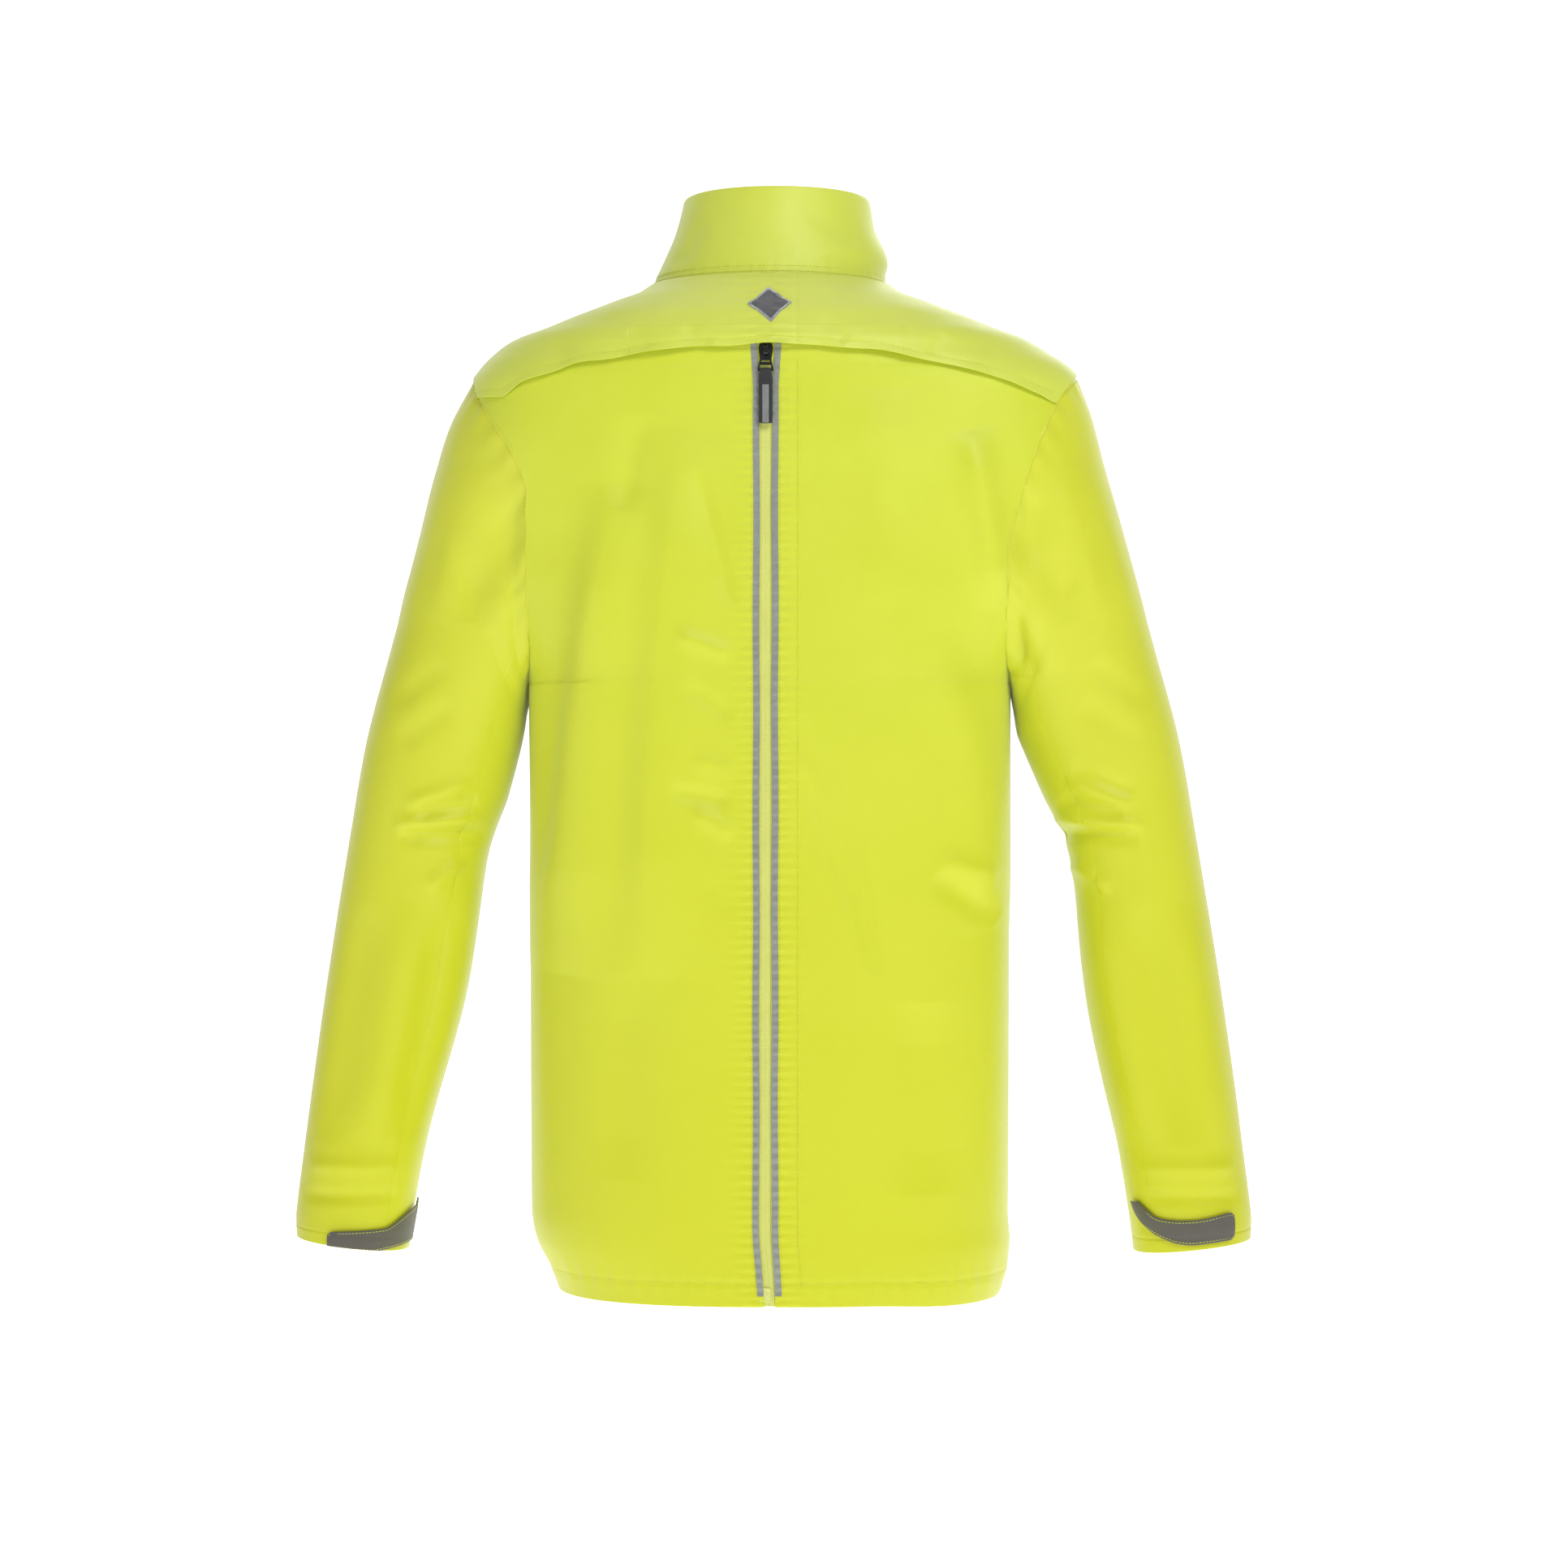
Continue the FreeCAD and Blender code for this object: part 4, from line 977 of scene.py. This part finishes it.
def on_cloth(surface, *where, out=0.0):
    """Points of a line on a surface and the way out of it."""
    return surface(*where, out), surface(*where, out + 0.5) - surface(*where, out)


def on_sleeve_cloth(side, angle, v, out=0.0):
    """The same on one of the sleeves."""
    return on_cloth(lambda a, b, layer: sleeve(a, b, side, layer), angle, v, out=out)


# ------------------------------------------------------------------ plates and straps
def frame_of(origin, across, up):
    """A flat piece's frame: its origin and its axes across, inwards and up."""
    across, up = unit(np.array(across, float)), unit(np.array(up, float))
    return np.array(origin, float), np.stack([across, np.cross(up, across), up])


def placed(frame_at, points):
    """Points of a frame as points of the jacket."""
    origin, axes = frame_at
    return origin + np.asarray(points, float) @ axes


BACK = frame_of((0, BACK_AT_HEM, 0), (1, 0, 0), (0, BACK_LEAN, 1))
FRONT = frame_of((0, FRONT_AT_HEM, 0), (-1, 0, 0), (0, -FRONT_LEAN, 1))


def front_depth(x, z):
    """Depth of the plain front where the torso's half width changes evenly between its rings."""
    half = np.interp(z, [row[0] for row in TORSO], [row[1] for row in TORSO])
    back, front = BACK_AT_HEM + BACK_LEAN * z, FRONT_AT_HEM - FRONT_LEAN * z
    round_off = (1 - (abs(x) / half) ** FRONT_POWER) ** (1 / FRONT_POWER)
    return (front + back) / 2 + (front - back) / 2 * round_off


def pocket_frame(side):
    """A pocket zip's frame, turned to lie along the cloth at its lower end."""
    x, low = side * POCKET_X, front_depth(POCKET_X, POCKET_BOTTOM)
    spin = math.pi + math.atan((front_depth(x + 1, POCKET_BOTTOM) - front_depth(x - 1, POCKET_BOTTOM)) / 2)
    lean = math.atan((front_depth(POCKET_X, POCKET_BOTTOM + POCKET_ZIP) - low) / POCKET_ZIP)
    up = (math.sin(lean) * math.sin(spin), -math.sin(lean) * math.cos(spin), math.cos(lean))
    return frame_of((x, low, POCKET_BOTTOM), (math.cos(spin), math.sin(spin), 0), up)


POCKET = {1: pocket_frame(1), -1: pocket_frame(-1)}


TAPE_DEPTHS = (1.6, 2.1)     # the two faces of a straight zip's tape in its frame


def flat_layers(at, x, zs, depths):
    """Grids of points at some depths in a frame, for a straight piece of cloth."""
    return [placed(at, np.stack(np.broadcast_arrays(x[None, :], np.asarray(depth, float), zs[:, None]), -1))
            for depth in depths]


def plate(name, loops, low, high, at, bevel=0.22, bow=0.0):
    """A flat piece cut to outlines of (x, z) in a frame, between two depths, with soft edges."""
    bm = bmesh.new()
    for loop in loops:
        verts = [bm.verts.new((x, low, z)) for x, z in loop]
        for a, b in zip(verts, verts[1:] + verts[:1]):
            bm.edges.new((a, b))
    bmesh.ops.triangle_fill(bm, use_beauty=True, use_dissolve=False, edges=bm.edges[:])
    made = bmesh.ops.extrude_face_region(bm, geom=bm.faces[:])
    moved = [v for v in made["geom"] if isinstance(v, bmesh.types.BMVert)]
    bmesh.ops.translate(bm, vec=(0, high - low, 0), verts=moved)
    bmesh.ops.recalc_face_normals(bm, faces=bm.faces[:])
    sharp = [e for e in bm.edges if len(e.link_faces) == 2 and e.calc_face_angle() > 1.0]
    bmesh.ops.bevel(bm, geom=sharp, offset=bevel, segments=3, affect="EDGES", profile=0.6, clamp_overlap=True)
    points = np.array([v.co[:] for v in bm.verts])
    if bow:
        points[:, 1] += bow * (points[:, 0] / 5.0) ** 2
    bm.verts.index_update()
    faces = [tuple(v.index for v in f.verts) for f in bm.faces]
    bm.free()
    return new_object(name, placed(at, points), faces, points[:, [0, 2]] * MM)


def joined(name, objs):
    """Several mesh objects as one."""
    for obj in bpy.context.view_layer.objects:
        obj.select_set(False)
    for obj in objs:
        obj.select_set(True)
    bpy.context.view_layer.objects.active = objs[0]
    bpy.ops.object.join()
    objs[0].name = name
    objs[0].data.name = name
    return objs[0]


def box_loop(half, low, high, corner=0.0, steps=5):
    """A rectangle's outline with round corners."""
    if not corner:
        return [(-half, low), (half, low), (half, high), (-half, high)]
    loop = []
    for x, z, start in ((half - corner, low + corner, -90), (half - corner, high - corner, 0),
                        (-half + corner, high - corner, 90), (-half + corner, low + corner, 180)):
        for i in range(steps):
            a = math.radians(start + 90 * i / (steps - 1))
            loop.append((x + corner * math.cos(a), z + corner * math.sin(a)))
    return loop


def mirrored_loop(right):
    """A closed outline from its right half, bottom to top."""
    return right + [(-x, z) for x, z in right[::-1]]


def strap(name, path, widths, thick, at, waves=0.0):
    """A woven strap along a path of (depth, z) in a frame."""
    path = np.array(path, float)
    ticks = np.arange(len(path))
    fine = np.linspace(0, len(path) - 1, 10 * len(path))
    depth, z, wide = smooth_table(np.column_stack([ticks, path, widths]), fine)
    along = unit(np.stack([np.gradient(depth), np.gradient(z)], -1))
    normal = np.stack([-along[:, 1], along[:, 0]], -1)
    across = np.linspace(-1, 1, 13)
    ribs = waves * np.cos(across * math.pi * 6)
    layers = []
    for lift in (thick / 2, -thick / 2):
        edge_round = lift * (1 - 0.35 * np.abs(across) ** 6) + np.sign(lift) * ribs
        grid = np.stack([wide[:, None] / 2 * across, depth[:, None] + normal[:, :1] * edge_round,
                         z[:, None] + normal[:, 1:] * edge_round], -1)
        layers.append(placed(at, grid))
    return shell(name, *layers)


# ------------------------------------------------------------------ zips
BRIDGE_DROP = 6.95       # from a slider's top down to where its puller turns
PULLER_DROP = 14.15      # from there down to where the webbing tab turns


def make_slider(name, at, top):
    """A zip's slider: two plates, the post between them and the bridge that holds the puller."""
    body = mirrored_loop([(4.1, top - 13), (4.5, top - 10), (4.7, top - 7.5), (5.2, top - 5.5),
                          (5.3, top - 3.2), (4.6, top - 1.2), (3.0, top - 0.2), (1.4, top)])
    wing = mirrored_loop([(4.0, top - 12.6), (4.4, top - 8), (5.0, top - 5), (4.9, top - 2.5),
                          (3.6, top - 0.6)])
    parts = [plate(name + "_a", [body], -2.75, -0.85, at, 0.45, bow=0.25),
             plate(name + "_b", [wing], 4.1, 5.3, at, 0.3),
             plate(name + "_c", [box_loop(0.36, top - 4.2, top - 0.3)], -1.2, 4.4, at, 0.1)]
    arch = [(-1.9, top - 2.2), (-4.6, top - 2.5), (-5.4, top - 3.5), (-5.5, top - 5.5), (-5.4, top - 7.6),
            (-4.7, top - 8.7), (-1.9, top - 9.0)]
    for x in (-1.0, 1.0):
        moved = (placed(at, [[x, 0, 0]])[0], at[1])
        parts.append(strap(name + "_d", arch, [1.15] * 7, 0.8, moved))
    parts.append(strap(name + "_e", arch, [2.4] * 7, 0.55, at))
    obj = joined(name, parts)
    return finish_piece(obj, slider_paint, [name], name)


def make_puller(name, at, top, flared):
    """The metal puller that hangs from a slider's bridge."""
    z = top - BRIDGE_DROP
    if flared:
        right = [(4.5, z - 14.7), (5.6, z - 14.0), (5.8, z - 12.8), (5.2, z - 10.4), (4.5, z - 7.2),
                 (3.9, z - 4.0), (3.4, z - 1.0), (2.6, z + 0.4), (1.2, z + 0.6)]
        slots = [box_loop(3.3, z - 7.7, z - 6.3, 0.5), box_loop(4.3, z - 13.4, z - 9.8, 0.6)]
    else:
        right = [(3.0, z - 14.8), (4.0, z - 13.6), (4.2, z - 11.5), (4.0, z - 8), (3.6, z - 4), (3.2, z - 1),
                 (2.4, z + 0.4), (1.2, z + 0.6)]
        slots = [box_loop(2.2, z - 13.2, z - 6.0, 0.9)]
    loops = [mirrored_loop(right), box_loop(1.9, z - 3.5, z - 0.7, 0.4)] + slots
    obj = plate(name, loops, -4.5, -3.3, at, 0.3)
    return finish_piece(obj, slider_paint, [name], name)


def make_tab(name, at, top, stripe):
    """The webbing tab looped through a puller, sewn along both edges."""
    z = top - BRIDGE_DROP - PULLER_DROP
    path = [(-3.55, z - 37.8), (-3.5, z - 20), (-3.45, z - 6), (-2.9, z - 2.2), (-2.5, z + 0.4),
            (-3.9, z + 2.0), (-5.3, z + 0.4), (-4.9, z - 2.2), (-4.6, z - 6), (-4.65, z - 20),
            (-4.6, z - 37.8)]
    widths = [9.6, 9.6, 9.6, 8.8, 8.0, 7.8, 8.0, 8.8, 9.6, 9.6, 9.6]
    obj = strap(name, path[::-1], widths, 1.0, at, waves=0.03)
    finish_piece(obj, webbing, [name], name)
    if stripe:
        path = [(-5.28, z - 37.7), (-5.34, z - 24), (-5.26, z - 10)]
        obj = strap("pull_tab_stripe", path[::-1], [4.7, 4.6, 4.6], 0.3, at)
        finish_piece(obj, stripe_grey, ["pull_tab_stripe"], name)
    for x in (-3.4, 3.4):
        count = np.arange(z - 36.5, z - 7, 2.2)
        centre = placed(at, np.column_stack([np.full(len(count), x), np.full(len(count), -5.2), count]))
        up = np.tile(at[1][2], (len(count), 1))
        out = np.tile(-at[1][1], (len(count), 1))
        side = "r" if x > 0 else "l"
        obj = capsules(name + "_stitches_" + side, centre, up, out, 1.5, 0.4)
        finish_piece(obj, webbing, (), name)


def make_teeth(name, at, low, high, side, node, pitch=1.4):
    """One half of a coil: rounded loops of nylon, sewn down side by side."""
    z = np.arange(low, high, pitch) + (pitch / 2 if side > 0 else 0)
    count = len(z)
    parts = []
    threads = (("top", 1.75, 2.75, (1, 0, 0), 2.7, 0.85), ("back", 1.75, 3.45, (1, 0.0, 0.25), 2.4, 0.7),
               ("head", 0.55, 3.0, (0, 1, 0), 1.3, 1.0))
    for tag, x, depth, along, long, fat in threads:
        centre = placed(at, np.column_stack([np.full(count, side * x), np.full(count, depth), z]))
        direction = np.tile((np.array(along, float) * (side, 1, 1)) @ at[1], (count, 1))
        out = np.tile(at[1][2], (count, 1)) if tag == "head" else np.tile(-at[1][1], (count, 1))
        parts.append(capsules(name + tag, centre, direction, out, long, fat))
    obj = joined(name, parts)
    return finish_piece(obj, coil_plastic, [node])


def tape_strip(name, x_low, x_high, low, high, out, thick, material, nodes, flare=0.0):
    """A strip of tape beside a zip, following the cloth."""
    zs = lower_levels(low, high, 2.2)
    x = np.linspace(x_low, x_high, 7)[None, :] + 0 * zs[:, None]
    x = x + np.sign(x_low) * flare * step(high - 34, high + 6, zs)[:, None]
    x = x + 0.22 * np.sin(zs / 23.0 + x_low)[:, None] * (1 if flare else 0)
    z = zs[:, None] + 0 * x
    g = angle_at(x, z)
    obj = shell(name, torso(g, z, out), torso(g, z, out - thick))
    return finish_piece(obj, material, nodes)


for side, name in ((1, "right"), (-1, "left")):
    tape_strip("back_zip_tape_" + name, side * 0.12, side * 13.5, 0.5, 705, -1.5, 0.5, tape_cloth,
               ["back_zip_tape_" + name])
    tape_strip("reflective_strip_" + name, side * 4.5, side * 9.1, 8, 702.5, 0.45, 0.35, reflective,
               ["reflective_strip_" + name], flare=2.4)
    make_teeth("back_zip_coil_" + name, BACK, 12, 700, side, "back_zip_coil_" + name)

    zs = lower_levels(0.5, 820, 2.6)
    x = np.linspace(-side * 0.12, -side * 13.5, 7)
    obj = shell("front_zip_tape_" + name, *flat_layers(FRONT, x, zs, TAPE_DEPTHS))
    finish_piece(obj, tape_cloth, ["front_zip_tape_" + name])
    make_teeth("front_zip_coil_" + name, FRONT, 12, 817, -side, "front_zip_coil_" + name)

    at = POCKET[side]
    zs = lower_levels(0.5, 164.5, 2.6)
    parts = []
    for hand in (1, -1):
        x = np.linspace(hand * 0.12, hand * 8.8, 6)
        parts.append(shell("pocket_tape_half", *flat_layers(at, x, zs, TAPE_DEPTHS)))
    obj = joined(f"pocket_zip_{name}_tape", parts)
    finish_piece(obj, tape_cloth, [f"pocket_zip_{name}_tape"])
    parts = [make_teeth("pocket_half", at, 3, 162, hand, f"pocket_zip_{name}_coil") for hand in (1, -1)]
    parts[0]["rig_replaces"] = parts[1]["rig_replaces"] = []
    obj = joined(f"pocket_zip_{name}_coil", parts)
    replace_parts(obj, f"pocket_zip_{name}_coil")
    make_slider("pocket_slider_" + name, at, 163)
    make_puller("pocket_puller_" + name, at, 163, False)

for side_name, at, top in (("back", BACK, 703), ("front", FRONT, 820)):
    make_slider(side_name + "_slider", at, top)
    make_puller(side_name + "_puller", at, top, True)
    make_tab(side_name + "_pull_tab", at, top, side_name == "back")
    hand = 1 if side_name == "back" else -1
    box = plate(side_name + "_box", [box_loop(3.85, 3.0, 13.7, 0.8)], 0.2, 3.2, at, 0.5)
    finish_piece(box, pin_plastic, [side_name + "_retainer_box"])
    pin = plate(side_name + "_pin", [[(0.8, 3), (2.4, 3), (2.4, 12), (0.8, 12)]], 3.8, 5.0, at, 0.3)
    finish_piece(pin, pin_plastic, [side_name + "_insertion_pin"])


# ------------------------------------------------------------------ cuffs
TAB_OUTLINE = {
    -1: [(-266.8, 61, 69), (-268, 50, 67.5), (-270, 40, 63.6), (-274, 34.4, 58), (-280, 31.4, 52.5),
         (-286, 30, 47.6), (-291, 29.1, 44.8), (-305, 27, 43.6), (-320, 27.6, 43), (-329, 28.8, 42.6),
         (-332, 31, 40.5)],
    1: [(275.3, 66, 71), (278, 58.5, 68.5), (282, 51.5, 63.5), (287.5, 45.5, 58.5), (291, 42.5, 55.6),
        (298, 39, 53.6), (307.7, 35.8, 52.9), (317.4, 35, 53.2), (330, 36.4, 55), (338.8, 37.6, 57),
        (345.5, 38.6, 58.2), (348.5, 41, 56)]}


def on_sleeve(x, z, side):
    """Angle and run of the sleeve's back where it shows at (x, z)."""
    angle = np.full(np.shape(x), -np.pi / 2)
    v = np.full(np.shape(x), 0.95)
    for _ in range(40):
        here = sleeve_base(angle, v, side)
        da = (sleeve_base(angle + 1e-3, v, side) - here) / 1e-3
        dv = (sleeve_base(angle, v - 1e-3, side) - here) / -1e-3
        ex, ez = x - here[..., 0], z - here[..., 2]
        det = da[..., 0] * dv[..., 2] - da[..., 2] * dv[..., 0]
        det = np.where(np.abs(det) < 1e-3, 1e-3, det)
        turn = np.clip((ex * dv[..., 2] - ez * dv[..., 0]) / det, -0.2, 0.2)
        move = np.clip((ez * da[..., 0] - ex * da[..., 2]) / det, -0.05, 0.05)
        angle, v = np.clip(angle + 0.6 * turn, -3.05, -0.15), np.clip(v + 0.6 * move, 0.85, 0.999)
    return angle, v


def tab_patch(side, first, last, margin, across, along):
    """Angles and runs over part of a cuff tab's outline."""
    rows = np.array(TAB_OUTLINE[side], float)
    at = np.linspace(first, last, along) * (len(rows) - 1)
    x, low_z, high_z = smooth_table(np.column_stack([np.arange(len(rows)), rows]), at)
    t = np.linspace(0, 1, across)[:, None]
    z = (low_z + margin)[None, :] * (1 - t) + (high_z - margin)[None, :] * t
    return on_sleeve(x[None, :] + 0 * z, z, side)


for side, name in ((1, "right"), (-1, "left")):
    angle, v = tab_patch(side, 0, 1, 0, 12, 64)
    puff = 0.5 * np.sin(np.linspace(0, np.pi, 12))[:, None] + 0.25 * np.sin(np.linspace(0, 9, 64))[None, :]
    layers = 2.9 + puff, 1.9 + 0.6 * puff
    tab = shell("cuff_tab_" + name, *[sleeve(angle, v, side, layer) for layer in layers])
    finish_piece(tab, cuff_grey, ["cuff_tab_" + name], "cuff_tab_" + name)
    angle, v = tab_patch(side, 0.62, 0.98, 2.5, 8, 24)
    obj = shell("cuff_hook_patch_" + name, sleeve(angle, v, side, 1.75), sleeve(angle, v, side, 1.05))
    finish_piece(obj, pile, ["cuff_hook_patch_" + name], "cuff_tab_" + name)
    angle, v = tab_patch(side, 0.42, 0.97, 3.0, 8, 36)
    obj = shell("cuff_loop_patch_" + name, sleeve(angle, v, side, 0.85), sleeve(angle, v, side, 0.1))
    finish_piece(obj, pile, ["cuff_loop_patch_" + name], "sleeve_" + name)
    angle, v = tab_patch(side, 0.02, 0.985, 1.3, 12, 90)
    ring_a = np.concatenate([angle[0], angle[:, -1], angle[-1, ::-1], angle[::-1, 0]])
    ring_v = np.concatenate([v[0], v[:, -1], v[-1, ::-1], v[::-1, 0]])
    path, out = on_sleeve_cloth(side, ring_a, ring_v, 2.95)
    stitch_row("cuff_tab_stitches_" + name, path, out, 2.6, 1.9, 0.5, "cuff_reflective", "cuff_tab_" + name)
    ring = np.linspace(-np.pi, np.pi, 300)
    path, out = on_sleeve_cloth(side, ring, np.full(300, 0.93))
    stitch_row("cuff_stitches_" + name, path, out, body="sleeve_" + name)
    across = sleeve_blend(side, name)
    ring = np.linspace(-np.pi, np.pi, 420)
    path, out = on_sleeve_cloth(side, ring, np.full(420, 0.012))
    stitch_row("armhole_stitches_" + name, path, out, body=across)


# ------------------------------------------------------------------ badge
BADGE = np.array([(1.3, 744.9), (18.4, 731.6), (3.7, 717.9), (-13.4, 730.2)])
middle = BADGE.mean(0)
s, t = np.meshgrid(np.linspace(-1, 1, 33), np.linspace(-1, 1, 33))


def badge_grid(scale, out):
    near = (BADGE[1] - BADGE[3]) / 2, (BADGE[0] - BADGE[2]) / 2
    where = middle + ((s + t) / 2 * scale)[..., None] * near[0] + ((t - s) / 2 * scale)[..., None] * near[1]
    g = angle_at(where[..., 0], where[..., 1])
    return yoke(g, where[..., 1], 0.0 * where[..., 1] + 690, out)


cells = np.maximum(np.abs(s), np.abs(t))
ring_cells = (cells[:-1, :-1] + cells[1:, 1:]) / 2 > 0.86
obj = shell("back_badge", badge_grid(0.9, SHELL + 1.25), badge_grid(0.9, SHELL + 0.5))
finish_piece(obj, badge_dark, ["back_badge"])
obj = shell("badge_frame", badge_grid(1.0, SHELL + 1.6), badge_grid(1.0, SHELL + 0.5), ring_cells)
finish_piece(obj, badge_rim)


# ------------------------------------------------------------------ inside pieces and hanger loop
def inside_sheet(name, x_low, x_high, low, high, out, thick, folds, front, node):
    zs = lower_levels(low, high, 4.0)
    x = np.linspace(x_low, x_high, 33)[None, :] + 0 * zs[:, None]
    z = zs[:, None] + 0 * x
    g = angle_at(x, z, front)
    share = (x - x_low) / (x_high - x_low)
    wave = folds * np.sin(share * math.pi * 6) * np.sin(share * math.pi)
    obj = shell(name, torso(g, z, out + wave), torso(g, z, out + wave - thick))
    as_sheet(torso_base(g, z))
    return finish_piece(obj, lining, [node])


inside_sheet("back_gusset", -39.5, 39.5, 20, 680, -7.4, 0.8, 0.7, False, "back_gusset")
for side, name in ((1, "right"), (-1, "left")):
    inside_sheet("pocket_bag_" + name, side * 40.5, side * 125.5, 70, 300, -9.3, 1.4, 0.5, True,
                 "pocket_bag_" + name)

zs = lower_levels(4.5, 817.5, 4.0)
x = np.linspace(-21, 21, 15)
ripple = 0.5 * np.sin(zs / 37.0)[:, None] * np.cos(x / 9)[None, :]
grid = flat_layers(FRONT, x, zs, (7.8 + ripple, 8.6 + ripple))
placket = shell("front_placket", *grid)
finish_piece(placket, lining, ["front_placket"])
as_sheet(grid[0])

half_bend = [(19.5, -77.4), (15, -74.4), (8, -71.6)]
bend = np.array([(-x, y) for x, y in half_bend] + [(0, -70.6)] + half_bend[::-1])
fine = np.linspace(0, 6, 60)
px, py = smooth_table(np.column_stack([np.arange(7), bend]), fine)
normal = unit(np.stack([-np.gradient(py), np.gradient(px)], -1))
rise = np.linspace(753.2, 758.8, 7)
layers = []
for lift in (0.55, -0.55):
    line = px + normal[:, 0] * lift, py + normal[:, 1] * lift, rise[:, None]
    layers.append(np.stack(np.broadcast_arrays(*line), -1))
loop = shell("hanger_loop", *layers)
finish_piece(loop, webbing, ["hanger_loop"])


# ------------------------------------------------------------------ seams and topstitching of the body
for side, name in ((1, "right"), (-1, "left")):
    ends = [float(torso_angle(np.float64(11), np.float64(HEM_STITCH), front)) for front in (False, True)]
    hem_g = np.linspace(*ends, 500)
    path, out = on_cloth(torso, side_of(hem_g, side), np.full(500, HEM_STITCH))
    stitch_row("hem_stitches_" + name, path, out)
    z = np.linspace(10, 700, 500)
    path, out = on_cloth(torso, side_of(torso_angle(np.full(500, 10.4), z), side), z)
    stitch_row("zip_stitches_" + name, path, out, *FINE_STITCH)
    z = np.linspace(10, 750, 500)
    for tag, x in (("a", 6.4), ("b", 12.6)):
        path, out = on_cloth(torso, side_of(torso_angle(np.full(500, x), z, True), side), z)
        stitch_row(f"front_stitches_{tag}_{name}", path, out, *FINE_STITCH)

z = np.linspace(14, 690, 500)
path, out = on_cloth(torso, torso_angle(np.full(500, 23.4), z), z)
stitch_row("facing_stitches", path, out, *FINE_STITCH[:2], 0.4)

for tag, rise_by in (("a", 2.6), ("b", 6.8)):
    g = np.linspace(-0.25, -np.pi + 0.25, 400)
    path, out = on_cloth(collar, g, np.full(400, NECK + rise_by))
    lift = step(NECK, COLLAR_TOP, NECK + rise_by)
    path = path + np.array([5.0 * lift, 0, -0.8]) * step(0, 20, rise_by)
    stitch_row("collar_stitches_" + tag, path + unit(out) * 0.2, out, *FINE_STITCH)

for name, first, last in (("left", -1.97, -1.01), ("right", 1.01, 1.97), ("flap", -0.98, 0.98)):
    u = np.linspace(first, last, 300)
    low = np.interp(u, columns, edge)
    row = low + 5.0
    path, out = on_cloth(lambda a, b, o: yoke(a, b, low, o), yoke_angle(u, row), row, out=SHELL + 0.5)
    across = YOKE_BLEND if name == "flap" else "jacket"
    stitch_row("yoke_stitches_" + name, path, out, *FINE_STITCH, body=across)


# ------------------------------------------------------------------ stage, light and camera
def backdrop():
    """A pale floor that curves up into a wall behind."""
    bend = WALL - CURVE              # where the floor starts to rise
    profile = [(-8.0, 0.0), (-2.0, 0.0), (bend, 0.0)]
    profile += [(bend + CURVE * math.sin(a), CURVE - CURVE * math.cos(a))
                for a in np.linspace(0, math.pi / 2, 14)[1:]]
    profile += [(WALL, 7.0)]
    points = [(x, y, z + FLOOR) for y, z in profile for x in (-8.0, 8.0)]
    faces = [(2 * i, 2 * i + 1, 2 * i + 3, 2 * i + 2) for i in range(len(profile) - 1)]
    obj = new_object("studio_floor", np.array(points) / MM, faces)
    obj.data.materials.append(floor_paint())
    obj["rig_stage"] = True


def floor_paint():
    material, tree, shader = graph("floor_paint")
    value = noise(tree, place_vector(tree), 3.0, 2.0)
    tree.links.new(ramp(tree, value, [(0.3, (0.90, 0.90, 0.90)), (0.7, (0.92, 0.92, 0.92))]),
                   shader.inputs["Base Color"])
    shader.inputs["Roughness"].default_value = 0.9
    shader.inputs["Emission Color"].default_value = (1, 1, 1, 1)
    shader.inputs["Emission Strength"].default_value = 0.70
    return material


def softbox(name, place, aim, size, power):
    light = bpy.data.lights.new(name, "AREA")
    light.shape, light.size, light.energy = "DISK", size, power
    obj = bpy.data.objects.new(name, light)
    obj.location = place
    obj.rotation_euler = (Vector(aim) - Vector(place)).to_track_quat("-Z", "Y").to_euler()
    bpy.context.scene.collection.objects.link(obj)


FLOOR = -0.30
WALL, CURVE = 6.0, 1.4       # the wall stands behind every camera that looks at the front
backdrop()
softbox("key", (1.2, -2.5, 2.4), (0, 0, 0.45), 1.3, 44)
softbox("fill", (-2.6, -2.4, 1.0), (0, 0, 0.4), 2.2, 8)
softbox("top", (0.0, 0.4, 3.0), (0, 0, 0.4), 2.2, 14)
softbox("rear", (0.8, 3.0, 2.0), (0, 0, 0.4), 2.0, 16)
world = bpy.data.worlds.new("studio")
bpy.context.scene.world = world
world.use_nodes = True
world.node_tree.nodes["Background"].inputs["Color"].default_value = (1, 1, 1, 1)
world.node_tree.nodes["Background"].inputs["Strength"].default_value = 0.21
bpy.context.scene.view_settings.view_transform = "Standard"

TURN = math.radians(1.3)         # the photo looks at the back from slightly to one side
camera = bpy.data.objects.new("camera", bpy.data.cameras.new("camera"))
camera.data.lens, camera.data.sensor_width = 82.65, 36
AWAY, ASIDE, EYE_HEIGHT = 2.754, 0.0105, 0.3805
camera.location = (ASIDE * math.cos(TURN) + AWAY * math.sin(TURN),
                   ASIDE * math.sin(TURN) - AWAY * math.cos(TURN), EYE_HEIGHT)
camera.rotation_euler = (math.pi / 2, 0, TURN)
bpy.context.scene.collection.objects.link(camera)
bpy.context.scene.camera = camera

low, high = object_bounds()
